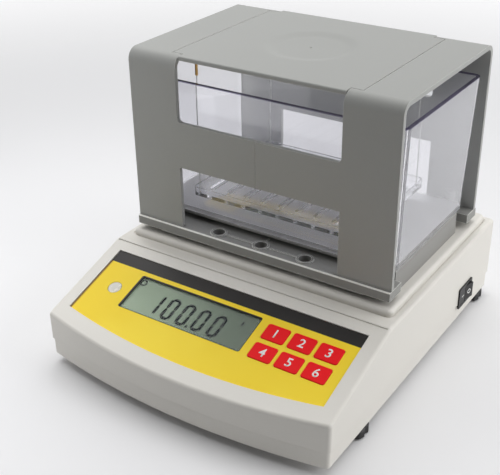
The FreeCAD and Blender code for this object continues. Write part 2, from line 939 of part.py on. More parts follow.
def make_control_overlay():
    body = new_body("control_overlay")
    lay_on_panel(body)
    film = sketch_on(body, "XY", lens_top)
    overlay_outline(film, as_size(0))
    box_outline(
        film,
        -window_left,
        window_right,
        overlay_bottom + size.window_bottom,
        overlay_bottom + size.window_top,
    )
    for x, y in KEY_PLACES:
        key_outline(film, x, y, size.key_clearance)
    seat_radius = size.level_window_radius + size.level_window_clearance
    circle(film, -level_x, overlay_bottom + size.level_y, seat_radius)
    pad(film, size.overlay_thickness)
    return body


def window_plate(label, rim, bottom, top):
    """A plate behind the display window, larger than it by a rim."""
    body = new_body(label)
    lay_on_panel(body)
    slab(
        body,
        -window_left - rim,
        window_right + rim,
        overlay_bottom + size.window_bottom - rim,
        overlay_bottom + size.window_top + rim,
        bottom,
        top,
    )
    return body


def make_display():
    window_plate("lcd_lens", size.lens_rim, lcd_top, lens_top)
    window_plate("lcd_panel", size.lens_rim, lcd_bottom, lcd_top)
    window_plate("lcd_backlight", size.lens_rim, display_board_top, lcd_bottom)
    board = new_body("display_board")
    lay_on_panel(board)
    left, right, front, rear = display_board_edges()
    bottom = display_board_top - size.board_thickness
    slab(board, left, right, front, rear, bottom, display_board_top, size.display_screw_inset)
    hole = size.small_screw_radius + size.fit_clearance
    bores(board, display_screw_places(), hole, bottom, display_board_top)
    bosses = new_body("display_bosses")
    lay_on_panel(bosses)
    wall_inside = -size.housing_wall
    columns(bosses, display_screw_places(), size.small_boss_radius, display_board_top, wall_inside)
    bores(bosses, display_screw_places(), hole, display_board_top, wall_inside)
    fastened = screws(
        "display_screws",
        display_screw_places(),
        (size.small_head_radius, size.small_head_height),
        (size.small_screw_radius, size.small_screw_length),
        (bottom, True),
    )
    lay_on_panel(fastened)


def display_board_edges():
    left = -window_left - size.lens_rim - size.display_board_side
    right = key_first_x + 2 * size.key_pitch_x + size.key_width / 2
    front = overlay_bottom + size.window_bottom - size.lens_rim - size.display_board_edge
    rear = overlay_bottom + size.window_top + size.lens_rim + size.display_board_edge
    return left, right, front, rear


def display_screw_places():
    left, right, front, rear = display_board_edges()
    inset = size.display_screw_inset
    reach_x = (right - left) / 2 - inset
    reach_y = (rear - front) / 2 - inset
    return around((left + right) / 2, (front + rear) / 2, reach_x, reach_y)


def make_keys():
    for number, (x, y) in enumerate(KEY_PLACES, start=1):
        body = new_body(f"key_{number}")
        lay_on_panel(body)
        half = size.key_width / 2 + size.key_flange
        reach = size.key_length / 2 + size.key_flange
        centre = overlay_bottom + y
        flange = sketch_on(body, "XY", key_flange_bottom)
        box_outline(flange, x - half, x + half, centre - reach, centre + reach)
        pad(flange, size.key_flange_thickness)
        cap = sketch_on(body, "XY", key_flange_top)
        key_outline(cap, x, y, as_size(0))
        pad(cap, key_top - key_flange_top)
        columns(body, [(x, centre)], size.key_stem_radius, key_stem_bottom, key_flange_bottom)
        chamfer(body, size.key_edge, flat_at(key_top))
    body = new_body("tact_switches")
    lay_on_panel(body)
    cases = sketch_on(body, "XY", display_board_top)
    half = size.switch_side / 2
    for x, y in KEY_PLACES:
        centre = overlay_bottom + y
        box_outline(cases, x - half, x + half, centre - half, centre + half)
    case_top = switch_tip_top - size.switch_tip_height
    pad(cases, case_top - display_board_top)
    tips = [(x, overlay_bottom + y) for x, y in KEY_PLACES]
    columns(body, tips, size.switch_tip_radius, case_top, switch_tip_top)


def make_level():
    window = new_body("level_window")
    lay_on_panel(window)
    window_bottom = level_window_top - size.level_window_thickness
    on_panel = [(-level_x, overlay_bottom + size.level_y)]
    columns(window, on_panel, size.level_window_radius, window_bottom, level_window_top)
    place = [(-level_x, level_centre_y())]
    top = level_centre_z() - size.vial_drop
    vial = new_body("level_vial")
    columns(vial, place, size.vial_radius, top - size.vial_height, top)
    chamfer(vial, size.vial_chamfer, flat_at(top))
    holder = new_body("level_holder")
    wall_inside = level_centre_z() - size.housing_wall / panel_cosine
    outer = size.vial_radius + size.holder_wall
    cup_bottom = top - size.vial_height - size.holder_wall
    lowest_edge = wall_inside - outer * panel_tangent
    columns(holder, place, outer, cup_bottom, lowest_edge)
    bore_radius = size.vial_radius + size.fit_clearance
    bores(holder, place, bore_radius, top - size.vial_height, wall_inside)


# --- Weighing frame ------------------------------------------------------------------------------


def make_frame_half(label, side):
    """One moulding: a bent strip over the tank, cut by window and notch, closed at x = 0."""
    body = new_body(label)
    front, rear, radius, wall = frame_front_y, frame_rear_y, size.frame_round, size.frame_wall
    shoulder = frame_top_z - radius
    arch = sketch_on(body, "YZ")
    outline(
        arch,
        (rear, floor_top_z),
        (rear, shoulder),
        (rear - radius, frame_top_z, rear - radius, shoulder, 1),
        (front + radius, frame_top_z),
        (front, shoulder, front + radius, shoulder, 1),
        (front, floor_top_z),
        (front + wall, floor_top_z),
        (front + wall, shoulder),
        (front + radius, frame_top_z - wall, front + radius, shoulder, -1),
        (rear - radius, frame_top_z - wall),
        (rear - wall, shoulder, rear - radius, shoulder, -1),
        (rear - wall, floor_top_z),
    )
    pad(arch, frame_half, reverse=side < 0)
    cut_frame_openings(body, side)
    support_top_plate(body, side)
    boss_places = [
        (side * size.frame_boss_x, size.frame_centre_y - frame_boss_y),
        (side * size.frame_boss_x, size.frame_centre_y + frame_boss_y),
    ]
    boss_top = floor_top_z + size.frame_boss_height
    columns(body, boss_places, size.frame_boss_radius, floor_top_z, boss_top)
    hole = size.small_screw_radius + size.fit_clearance
    bores(body, boss_places, hole, floor_top_z, boss_top - size.frame_wall)
    chamfer(body, size.seam_chamfer, seam_edge)
    return body


def seam_edge(edge):
    """The outer upright edges where the two halves meet."""
    middle = edge.CenterOfMass
    outside = abs(abs(middle.y - size.frame_centre_y.value) - size.frame_depth.value / 2) < NEAR
    return upright(edge) and abs(middle.x) < NEAR and outside


def cut_frame_openings(body, side):
    corner = size.opening_corner
    reach = 2 * size.frame_depth
    window_top = floor_top_z + size.window_height
    notch_bottom = window_top + size.band_height
    window = sketch_on(body, "XZ", size.frame_centre_y)
    box_outline(window, -opening_half, opening_half, floor_top_z, window_top)
    pocket(window, reach, symmetric=True)
    notch = sketch_on(body, "XZ", size.frame_centre_y)
    beyond = frame_top_z + size.frame_wall
    outline(
        notch,
        (-opening_half, beyond),
        (-opening_half, notch_bottom + corner),
        (-opening_half + corner, notch_bottom, -opening_half + corner, notch_bottom + corner, 1),
        (opening_half - corner, notch_bottom),
        (opening_half, notch_bottom + corner, opening_half - corner, notch_bottom + corner, 1),
        (opening_half, beyond),
    )
    pocket(notch, reach, symmetric=True)
    seat = sketch_on(body, "XY", beyond)
    plate_half = size.plate_width / 2
    seat_reach = size.frame_depth / 2 - size.plate_setback - size.plate_notch
    box_outline(
        seat,
        -plate_half,
        plate_half,
        size.frame_centre_y - seat_reach,
        size.frame_centre_y + seat_reach,
    )
    pocket(seat, 2 * size.frame_wall)


def support_top_plate(body, side):
    """Ledge along the strip's inner edge, which the top plate rests on."""
    ledge = sketch_on(body, "XZ", frame_rear_y - size.frame_wall)
    inner = size.plate_width / 2 - size.ledge_width
    middle = size.plate_width / 2
    outer = size.plate_width / 2 + size.ledge_width
    bottom = plate_bottom_z - size.ledge_thickness
    strip_bottom = frame_top_z - size.frame_wall
    corners = (
        (inner, bottom),
        (outer, bottom),
        (outer, strip_bottom),
        (middle, strip_bottom),
        (middle, plate_bottom_z),
        (inner, plate_bottom_z),
    )
    outline(ledge, *[(side * x, z) for x, z in corners])
    pad(ledge, size.frame_depth - 2 * size.frame_wall)


def make_floor_plate():
    body = new_body("floor_plate")
    front = frame_front_y - size.floor_lip_proud
    rear = frame_rear_y + size.floor_lip_proud
    waist = frame_half - size.floor_cutout_width
    notch_reach = size.bench_depth / 2 + size.bench_clearance
    notch_front = size.frame_centre_y - notch_reach
    notch_rear = size.frame_centre_y + notch_reach
    plan = sketch_on(body, "XY", floor_bottom_z)
    outline(
        plan,
        (-frame_half, front),
        (frame_half, front),
        (frame_half, notch_front),
        (waist, notch_front),
        (waist, notch_rear),
        (frame_half, notch_rear),
        (frame_half, rear),
        (-frame_half, rear),
        (-frame_half, notch_rear),
        (-waist, notch_rear),
        (-waist, notch_front),
        (-frame_half, notch_front),
    )
    pad(plan, size.floor_lip_height)
    hollow(body, size.floor_wall, flat_at(floor_bottom_z))
    fillet(body, size.floor_lip_round, floor_lip_edge)
    rib_front = front + size.floor_rib_setback
    rib_half = size.floor_rib_width / 2
    rib_bottom_z = floor_bottom_z - size.floor_rib_drop
    slab(
        body,
        -rib_half,
        rib_half,
        rib_front,
        front + size.floor_wall,
        rib_bottom_z,
        floor_bottom_z,
    )
    ring_y = frame_front_y + size.ring_from_front
    rings = [(column * size.ring_pitch, ring_y) for column in (-1, 0, 1)]
    ring_top = floor_top_z + size.ring_height
    line_top = floor_top_z + size.ring_line_height
    half_line = size.ring_line_width / 2
    slab(
        body,
        -size.ring_pitch,
        size.ring_pitch,
        ring_y - half_line,
        ring_y + half_line,
        floor_top_z,
        line_top,
    )
    slab(
        body,
        -half_line,
        half_line,
        ring_y,
        ring_y + size.ring_rib_length,
        floor_top_z,
        line_top,
    )
    columns(body, rings, size.ring_radius, floor_top_z, ring_top)
    tube_radius = size.ring_hole_radius + size.ring_tube_wall
    columns(body, rings, tube_radius, floor_bottom_z, floor_underside_z)
    bores(body, rings, size.ring_hole_radius, floor_bottom_z, ring_top)
    socket_bore = socket_radius()
    socket_bottom = floor_underside_z - size.socket_depth
    columns(body, POSTS, socket_bore + size.socket_wall, socket_bottom, floor_underside_z)
    bores(body, POSTS, socket_bore, socket_bottom, floor_underside_z)
    holes = frame_screw_places()
    hole = size.small_screw_radius + size.fit_clearance
    bores(body, holes, hole, floor_underside_z, floor_top_z)
    return body


def floor_lip_edge(edge):
    """The top edges along the front and rear lips."""
    reach = size.frame_depth.value / 2 + size.floor_lip_proud.value
    at_lip = abs(abs(edge.CenterOfMass.y - size.frame_centre_y.value) - reach) < NEAR
    return at_lip and flat_at(floor_top_z)(edge)


def frame_screw_places():
    return around(0, size.frame_centre_y, size.frame_boss_x, frame_boss_y)


def socket_radius():
    return size.post_radius + size.fit_clearance + size.post_pad_wall + size.socket_clearance


def make_top_plate():
    body = new_body("top_plate")
    half = size.plate_width / 2 - size.plate_clearance
    reach = size.frame_depth / 2 - size.plate_setback
    inner_half = opening_half - size.plate_clearance
    inner_reach = reach - size.plate_notch - size.plate_clearance
    y = size.frame_centre_y
    plan = sketch_on(body, "XY", plate_bottom_z)
    outline(
        plan,
        (-inner_half, y - reach),
        (inner_half, y - reach),
        (inner_half, y - inner_reach),
        (half, y - inner_reach),
        (half, y + inner_reach),
        (inner_half, y + inner_reach),
        (inner_half, y + reach),
        (-inner_half, y + reach),
        (-inner_half, y + inner_reach),
        (-half, y + inner_reach),
        (-half, y - inner_reach),
        (-inner_half, y - inner_reach),
    )
    pad(plan, size.plate_thickness)
    dish = sketch_on(body, "XZ", y)
    outline(
        dish,
        (0, frame_top_z),
        (0, frame_top_z - size.dish_depth),
        (size.dish_floor_radius, frame_top_z - size.dish_side_depth),
        (size.dish_radius, frame_top_z),
    )
    groove = body.newObject("PartDesign::Groove", "Groove")
    groove.Profile = dish
    groove.ReferenceAxis = (dish, ["V_Axis"])
    groove.Angle = 360
    fillet(body, size.dish_blend, dish_edge)
    dimple_bottom = frame_top_z - size.dish_depth - size.dimple_depth
    bores(body, [(0, y)], size.dimple_radius, dimple_bottom, frame_top_z)
    fillet(body, size.plate_edge_round, plate_end_edge)
    return body


def dish_edge(edge):
    """The two rings where the dish's side meets its floor and the plate's top."""
    across = edge.BoundBox.XLength / 2
    rings = (size.dish_radius.value, size.dish_floor_radius.value)
    return edge.Closed and min(abs(across - ring) for ring in rings) < NEAR


def plate_end_edge(edge):
    """The front and rear top edges of the plate."""
    reach = size.frame_depth.value / 2 - size.plate_setback.value
    box = edge.BoundBox
    at_end = abs(abs(edge.CenterOfMass.y - size.frame_centre_y.value) - reach) < NEAR
    return at_end and flat_at(frame_top_z)(edge) and box.XLength > NEAR


def make_basket():
    ferrules = new_body("hanger_ferrules")
    columns(ferrules, HANGERS, size.ferrule_radius, ferrule_bottom_z, plate_bottom_z)
    wires = new_body("hanger_wires")
    stopper_bottom = tray_bottom_z - size.stopper_height
    columns(wires, HANGERS, size.stopper_radius, stopper_bottom, tray_bottom_z)
    columns(wires, HANGERS, size.wire_radius, tray_bottom_z, ferrule_bottom_z)
    tray = new_body("basket_tray")
    half, reach, y = size.tray_width / 2, size.tray_depth / 2, size.frame_centre_y
    top = tray_bottom_z + size.tray_height
    slab(tray, -half, half, y - reach, y + reach, tray_bottom_z, top, size.tray_corner)
    rim = size.tray_rim
    inside = sketch_on(tray, "XY", top)
    inner_half, inner_reach = half - rim, reach - rim
    inner_corner = size.tray_corner - rim
    rounded_outline(
        inside, -inner_half, inner_half, y - inner_reach, y + inner_reach, inner_corner
    )
    pocket(inside, size.tray_height - size.tray_thickness)
    slots = sketch_on(tray, "XY", top)
    slot_reach = size.tray_slot_length / 2
    for number in range(TRAY_SLOTS):
        x = (number - (TRAY_SLOTS - 1) / 2) * size.tray_slot_pitch
        slot_outline(slots, x, y - slot_reach, y + slot_reach, size.tray_slot_width)
    pocket(slots, size.tray_height)
    wire_hole = size.wire_radius + size.wire_clearance
    bores(tray, HANGERS, wire_hole, tray_bottom_z, top)


# --- Water tank ----------------------------------------------------------------------------------


def make_water_tank():
    body = new_body("water_tank")
    half, reach, y = size.tank_width / 2, size.tank_depth / 2, size.frame_centre_y
    foot = sketch_on(body, "XY", bench_top_z)
    rounded_outline(foot, -half, half, y - reach, y + reach, size.tank_corner)
    rim = sketch_on(body, "XY", bench_top_z + size.tank_height)
    wide_half, wide_reach = half + size.tank_flare, reach + size.tank_flare
    rounded_outline(rim, -wide_half, wide_half, y - wide_reach, y + wide_reach, size.tank_corner)
    loft = body.newObject("PartDesign::AdditiveLoft", "Loft")
    loft.Profile = foot
    loft.Sections = [rim]
    walls = hollow(body, size.tank_wall, flat_at(bench_top_z + size.tank_height))
    walls.Join = "Arc"
    return body


def make_tank_bench():
    body = new_body("tank_bench")
    half, wall = size.bench_width / 2, size.bench_wall
    section = sketch_on(body, "XZ", size.frame_centre_y)
    outline(
        section,
        (-half, plateau_z),
        (-half + wall, plateau_z),
        (-half + wall, bench_top_z - wall),
        (half - wall, bench_top_z - wall),
        (half - wall, plateau_z),
        (half, plateau_z),
        (half, bench_top_z),
        (-half, bench_top_z),
    )
    pad(section, size.bench_depth, symmetric=True)
    fillet(body, size.bench_round, bench_end_edge)
    return body


def bench_end_edge(edge):
    at_end = abs(abs(edge.CenterOfMass.x) - size.bench_width.value / 2) < NEAR
    return at_end and flat_at(bench_top_z)(edge)


# --- Load cell and pan support ---------------------------------------------------------------------


def cell_bolt_places(end_y):
    middle = end_y + size.cell_end / 2
    half = size.cell_bolt_spacing / 2
    return [(0, middle - half), (0, middle + half)]


def make_load_cell():
    body = new_body("load_cell")
    side = sketch_on(body, "YZ")
    box_outline(side, cell_front_y, cell_rear_y, cell_bottom_z, cell_top_z)
    pad(side, size.cell_width, symmetric=True)
    eyes = sketch_on(body, "YZ")
    middle_z = cell_bottom_z + size.cell_width / 2
    centre, reach = size.frame_centre_y, size.cell_hole_spacing / 2
    circles(eyes, [(centre - reach, middle_z), (centre + reach, middle_z)], size.cell_hole_radius)
    pocket(eyes, 2 * size.cell_width, symmetric=True)
    slot = sketch_on(body, "YZ")
    half_slot = size.cell_slot_height / 2
    box_outline(slot, centre - reach, centre + reach, middle_z - half_slot, middle_z + half_slot)
    pocket(slot, 2 * size.cell_width, symmetric=True)
    hole = size.cell_bolt_radius + size.cell_bolt_clearance
    far_end = cell_rear_y - size.cell_end
    holes = cell_bolt_places(cell_front_y) + cell_bolt_places(far_end)
    bores(body, holes, hole, cell_bottom_z, cell_top_z)

    base = new_body("load_cell_base")
    reach = size.cell_width / 2
    cell_seat = cell_front_y + size.cell_end
    slab(base, -reach, reach, cell_front_y, cell_seat, pedestal_top_z, cell_bottom_z)
    bores(base, cell_bolt_places(cell_front_y), hole, pedestal_top_z, cell_bottom_z)

    seat_z = base_z + size.cell_bolt_head_height
    grip = cell_bottom_z + size.cell_bolt_reach - seat_z
    screws(
        "load_cell_bolts",
        cell_bolt_places(cell_front_y),
        (size.cell_bolt_head_radius, size.cell_bolt_head_height),
        (size.cell_bolt_radius, grip),
        (seat_z, True),
    )
    screws(
        "pan_bolts",
        cell_bolt_places(far_end),
        (size.cell_bolt_head_radius, size.cell_bolt_head_height),
        (size.cell_bolt_radius, pan_top_z - cell_top_z + size.cell_bolt_reach),
        (pan_top_z, False),
    )


def make_pan_support():
    body = new_body("pan_support")
    half, reach, y = size.pan_support_width / 2, size.pan_support_depth / 2, size.frame_centre_y
    slab(body, -half, half, y - reach, y + reach, pan_bottom_z, pan_top_z, size.plateau_corner)
    windows = sketch_on(body, "XY", pan_top_z)
    half_window, window_reach = size.pan_window_width / 2, size.pan_window_depth / 2
    for side in (-1, 1):
        x = side * size.pan_window_x
        rounded_outline(
            windows,
            x - half_window,
            x + half_window,
            y - window_reach,
            y + window_reach,
            size.opening_corner,
        )
    pocket(windows, size.pan_support_thickness)
    seat = size.cell_width / 2
    far_end = cell_rear_y - size.cell_end
    slab(body, -seat, seat, far_end, y + reach, cell_top_z, pan_bottom_z)
    hole = size.cell_bolt_radius + size.cell_bolt_clearance
    bores(body, cell_bolt_places(far_end), hole, cell_top_z, pan_top_z)

    posts = new_body("support_posts")
    post_top = floor_underside_z - size.post_pad_cap
    columns(posts, POSTS, size.post_collar_radius, pan_top_z, pan_top_z + size.post_collar_height)
    columns(posts, POSTS, size.post_radius, pan_top_z + size.post_collar_height, post_top)

    pads = new_body("support_pads")
    pad_bottom = floor_underside_z - size.socket_depth
    bore_radius = size.post_radius + size.fit_clearance
    pad_radius = bore_radius + size.post_pad_wall
    columns(pads, POSTS, pad_radius, pad_bottom, floor_underside_z)
    bores(pads, POSTS, bore_radius, pad_bottom, post_top)

    stops = new_body("overload_stops")
    columns(stops, STOPS, size.stop_radius, floor_inside_z, pan_bottom_z - size.stop_gap)


# --- Boards, switch, inlet -------------------------------------------------------------------------


def make_main_board():
    body = new_body("main_board")
    slab(
        body,
        -size.main_board_left,
        size.main_board_right,
        -size.main_board_front,
        -size.main_board_rear,
        main_board_bottom_z,
        main_board_top_z,
        size.small_head_radius,
    )
    hole = size.small_screw_radius + size.fit_clearance
    bores(body, BOARD_HOLES, hole, main_board_bottom_z, main_board_top_z)
    screws(
        "board_screws",
        BOARD_HOLES,
        (size.small_head_radius, size.small_head_height),
        (size.small_screw_radius, size.small_screw_length),
        (main_board_top_z, False),
    )
    chips = new_body("board_chips")
    for name in BOARD_PARTS:
        left, front, width, depth, height = (
            getattr(size, f"{name}_{kind}") for kind in ("left", "front", "width", "depth", "height")
        )
        top = main_board_top_z + height
        slab(chips, left, left + width, front, front + depth, main_board_top_z, top)


def make_power_switch():
    body = new_body("power_switch_body")
    y, z = size.rocker_centre_y, size.rocker_centre_z
    half_length, half_height = size.bezel_length / 2, size.bezel_height / 2
    bezel = sketch_on(body, "YZ", half_width)
    rounded_outline(
        bezel,
        y - half_length,
        y + half_length,
        z - half_height,
        z + half_height,
        size.bezel_thickness,
    )
    pad(bezel, size.bezel_thickness)
    case = sketch_on(body, "YZ", half_width)
    margin = size.switch_body_margin
    case_length, case_height = half_length - margin, half_height - margin
    box_outline(case, y - case_length, y + case_length, z - case_height, z + case_height)
    pad(case, size.switch_depth, reverse=True)
    cavity = sketch_on(body, "YZ", half_width + size.bezel_thickness)
    border = size.bezel_border
    open_length, open_height = half_length - border, half_height - border
    box_outline(cavity, y - open_length, y + open_length, z - open_height, z + open_height)
    pocket(cavity, size.rocker_cavity)
    pin_hole = sketch_on(body, "XY", z)
    circle(pin_hole, half_width, y, size.rocker_pin_radius + size.fit_clearance)
    pin_reach = open_height + size.rocker_pin_length + size.fit_clearance
    pocket(pin_hole, 2 * pin_reach, symmetric=True)

    rocker = new_body("power_rocker")
    rocker.Placement = Placement(Vector(0, 0, 0), Rotation(Vector(0, 0, -1), 1))
    bind(rocker, "Placement.Rotation.Angle", size.rocker_tilt)
    bind(rocker, "Placement.Base.x", half_width)
    bind(rocker, "Placement.Base.y", y)
    bind(rocker, "Placement.Base.z", z)
    tilt = Size(
        math.tan(math.radians(size.rocker_tilt.value)), f"tan({size.rocker_tilt.text} * 1 deg)"
    )
    tip = open_length - size.rocker_clearance
    raised = size.rocker_surface + tip * tilt
    keel_half = tip / 3
    profile = sketch_on(rocker, "XY")
    outline(
        profile,
        (size.rocker_surface, 0),
        (raised, tip),
        (-size.rocker_edge, tip),
        (-size.rocker_keel, keel_half),
        (-size.rocker_keel, -keel_half),
        (-size.rocker_edge, -tip),
        (raised, -tip),
    )
    rocker_height = 2 * (open_height - size.rocker_clearance)
    pad(profile, rocker_height, symmetric=True)
    pin = sketch_on(rocker, "XY")
    circle(pin, 0, 0, size.rocker_pin_radius)
    pad(pin, 2 * (open_height + size.rocker_pin_length), symmetric=True)

    terminals = new_body("switch_terminals")
    back = half_width - size.switch_depth
    spade = sketch_on(terminals, "YZ", back)
    half_blade, half_width_blade = size.terminal_thickness / 2, size.terminal_width / 2
    for side in (-1, 1):
        middle = y + side * size.terminal_spacing / 2
        box_outline(
            spade,
            middle - half_blade,
            middle + half_blade,
            z - half_width_blade,
            z + half_width_blade,
        )
    pad(spade, size.terminal_length, reverse=True)


def make_dc_inlet():
    body = new_body("dc_inlet")
    x, z = -size.inlet_x, size.inlet_z
    face_y = rear_y - size.inlet_recess
    half, reach = size.inlet_width / 2, size.inlet_height / 2
    case = sketch_on(body, "XZ", face_y)
    box_outline(case, x - half, x + half, z - reach, z + reach)
    pad(case, size.inlet_depth)
    socket = sketch_on(body, "XZ", face_y)
    circle(socket, x, z, size.inlet_bore_radius)
    pocket(socket, size.inlet_bore_depth, reverse=True)
    pin = sketch_on(body, "XZ", face_y - size.inlet_bore_depth)
    circle(pin, x, z, size.inlet_pin_radius)
    pad(pin, size.inlet_bore_depth - size.inlet_recess, reverse=True)
    return body


# --- Feet and screws -------------------------------------------------------------------------------


def make_feet():
    knob_top = base_z - size.foot_gap
    knob_bottom = size.foot_pad_thickness
    for place, (x, y) in FEET.items():
        foot = new_body(f"foot_{place}")
        columns(foot, [(x, y)], size.foot_radius, knob_bottom, knob_top)
        chamfer(foot, size.foot_pad_thickness, flat_at(knob_top))
        notches = sketch_on(foot, "XY", base_z)
        reach = size.foot_radius + size.foot_lobe_radius - size.foot_lobe_depth
        for number in range(FOOT_LOBES):
            angle = 2 * math.pi * number / FOOT_LOBES
            across, along = reach * math.cos(angle), reach * math.sin(angle)
            circle(notches, x + across, y + along, size.foot_lobe_radius)
        pocket(notches, base_z)
        columns(foot, [(x, y)], size.foot_stud_radius, knob_top, knob_top + size.foot_stud_length)
        sole = new_body(f"foot_pad_{place}")
        columns(sole, [(x, y)], size.foot_pad_radius, as_size(0), size.foot_pad_thickness)
    inserts = new_body("foot_inserts")
    places = list(FEET.values())
    insert_top = base_z + size.insert_height
    columns(inserts, places, size.insert_radius, base_z, insert_top)
    bores(inserts, places, size.foot_stud_radius + size.fit_clearance, base_z, insert_top)


def make_housing_screws():
    screws(
        "housing_screws",
        FRONT_SCREWS + REAR_SCREWS,
        (size.screw_head_radius, size.screw_head_height),
        (size.shell_screw_radius - size.fit_clearance, size.shell_screw_length),
        (base_z + size.screw_head_height, True),
    )
    screws(
        "frame_screws",
        frame_screw_places(),
        (size.small_head_radius, size.small_head_height),
        (size.small_screw_radius, size.frame_screw_length),
        (floor_underside_z, True),
    )


make_lower_housing()
make_upper_housing()
make_control_overlay()
make_display()
make_keys()
make_level()
make_floor_plate()
make_frame_half("frame_left", -1)
make_frame_half("frame_right", 1)
make_top_plate()
make_basket()
make_water_tank()
make_tank_bench()
make_load_cell()
make_pan_support()
make_main_board()
make_power_switch()
make_dc_inlet()
make_feet()
make_housing_screws()
document.recompute()


def check_document():
    """Every object is up to date, every shape sound, and every cut takes material away."""
    faults = []
    for item in document.Objects:
        if "Invalid" in item.State or "Error" in item.State:
            faults.append(f"{feature_name(item)} failed")
        elif item.TypeId in ("PartDesign::Pocket", "PartDesign::Groove"):
            if item.Shape.Volume > item.BaseFeature.Shape.Volume - NEAR:
                faults.append(f"{feature_name(item)} cuts nothing")
    for body in sub_parts():
        if body.Shape.isNull() or not body.Shape.isValid():
            faults.append(f"{body.Label} has no sound shape")
    if faults:
        raise RuntimeError("; ".join(faults))


def feature_name(item):
    body = item.getParentGeoFeatureGroup()
    return f"{item.Label} of {body.Label}" if body else item.Label


def sub_parts():
    return [item for item in document.Objects if item.TypeId == "PartDesign::Body"]


check_document()
os.makedirs("parts", exist_ok=True)
for sub_part in sub_parts():
    sub_part.Shape.exportStep(f"parts/{sub_part.Label}.step")
print(len(sub_parts()), "sub-parts written")
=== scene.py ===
import math

import bmesh
import bpy
from mathutils import Matrix, Vector


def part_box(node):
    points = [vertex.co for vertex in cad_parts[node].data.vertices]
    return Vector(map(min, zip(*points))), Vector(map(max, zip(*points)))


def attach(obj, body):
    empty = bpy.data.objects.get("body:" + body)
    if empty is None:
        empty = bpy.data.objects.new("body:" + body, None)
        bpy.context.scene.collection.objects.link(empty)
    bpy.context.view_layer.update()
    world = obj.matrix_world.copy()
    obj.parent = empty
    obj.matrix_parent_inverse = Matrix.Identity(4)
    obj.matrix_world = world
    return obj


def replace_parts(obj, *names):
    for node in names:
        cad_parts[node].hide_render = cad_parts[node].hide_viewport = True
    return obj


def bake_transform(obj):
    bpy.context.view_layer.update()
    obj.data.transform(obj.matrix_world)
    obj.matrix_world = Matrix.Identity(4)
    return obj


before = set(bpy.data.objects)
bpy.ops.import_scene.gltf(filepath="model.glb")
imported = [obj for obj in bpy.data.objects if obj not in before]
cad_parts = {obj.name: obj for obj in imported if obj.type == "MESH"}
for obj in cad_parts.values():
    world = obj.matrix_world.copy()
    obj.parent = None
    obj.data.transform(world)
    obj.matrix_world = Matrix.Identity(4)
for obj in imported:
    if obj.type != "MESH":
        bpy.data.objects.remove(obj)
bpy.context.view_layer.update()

# Electronic gold tester: finishes, printed marks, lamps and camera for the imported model.
# Metres, +Z up, front towards -Y, origin on the table under the middle of the housing.

MM = 0.001

# Control panel: its upper edge at the crease, and the way up and out of its slope. Levels on it
# are measured up the slope from the film's lower edge.
PANEL_RUN = 68.9
PANEL_RISE = 22.0
PANEL_LENGTH = math.hypot(PANEL_RUN, PANEL_RISE)
PANEL_UP = Vector((0.0, PANEL_RUN, PANEL_RISE)) / PANEL_LENGTH
PANEL_OUT = Vector((0.0, -PANEL_RISE, PANEL_RUN)) / PANEL_LENGTH
CREASE = Vector((0.0, -39.6, 58.4)) * MM
FILM_BOTTOM = -62.45 * MM
FILM_LEFT = -91.2 * MM
BAND_BOTTOM = 43.5 * MM
PRINT_EDGE = 0.05 * MM

# Printed line round the display: middle and half size, across and up the panel
BORDER_MIDDLE = (-17.2 * MM, 26.65 * MM)
BORDER_HALF = (45.4 * MM, 13.85 * MM)
BORDER_CORNER = 1.4 * MM
DISPLAY_LEFT = -62 * MM
DISPLAY_RIGHT = 28 * MM

# Display reading, in millimetres on the panel: the last digit's middle, then one digit's form
DIGIT_LAST_X = 4.8
DIGIT_MIDDLE = 24.45
DIGIT_PITCH = 11.45
DIGIT_WIDTH = 7.7
DIGIT_HEIGHT = 17.2
SEGMENT_WIDTH = 2.2
SEGMENT_GAP = 0.7
DIGIT_LEAN = 0.02
DISPLAY_DEPTH = 1.98

# Key figures
KEY_COLUMNS = (41.4, 59.05, 76.7)
KEY_ROWS = (32.75, 17.95)
KEY_FIGURE_HEIGHT = 8.4 * MM
KEY_TOP = -0.11

# Levels of the tank's cut rim and of its floor
TANK_RIM = 167.1 * MM
TANK_FLOOR = 80.4 * MM

# How far printed marks stand off what they are printed on
DISPLAY_MARK_THICKNESS = 0.03
MARK_THICKNESS = 0.04
FIGURE_THICKNESS = 0.05


def tone(red, green, blue):
    """A colour given as it looks on a screen, 0 to 255, as the shader wants it."""
    shares = [v / 255 for v in (red, green, blue)]
    linear = [v / 12.92 if v <= 0.04045 else ((v + 0.055) / 1.055) ** 2.4 for v in shares]
    return (*linear, 1.0)


# ---------------------------------------------------------------- node tools

def node(tree, kind, at=(0, 0), **settings):
    made = tree.nodes.new(kind)
    made.location = at
    for name, value in settings.items():
        setattr(made, name, value)
    return made


def join(tree, source, target):
    tree.links.new(source, target)


def maths(tree, operation, *values, clamp=False):
    made = node(tree, "ShaderNodeMath", operation=operation, use_clamp=clamp)
    for socket, value in zip(made.inputs, values):
        if isinstance(value, (int, float)):
            socket.default_value = value
        else:
            join(tree, value, socket)
    return made.outputs[0]


def spread(tree, value, low, high, to_low=0.0, to_high=1.0, smooth=True):
    """The value carried from low..high to to_low..to_high, and held at the ends."""
    way = "SMOOTHSTEP" if smooth else "LINEAR"
    made = node(tree, "ShaderNodeMapRange", interpolation_type=way)
    join(tree, value, made.inputs["Value"])
    ends = {"From Min": low, "From Max": high, "To Min": to_low, "To Max": to_high}
    for name, number in ends.items():
        made.inputs[name].default_value = number
    return made.outputs["Result"]


def mixed(tree, share, first, second, blend="MIX"):
    made = node(tree, "ShaderNodeMix", data_type="RGBA", blend_type=blend)
    for at, value in ((0, share), (6, first), (7, second)):
        socket = made.inputs[at]
        if hasattr(value, "links"):
            join(tree, value, socket)
        else:
            socket.default_value = value
    return made.outputs[2]


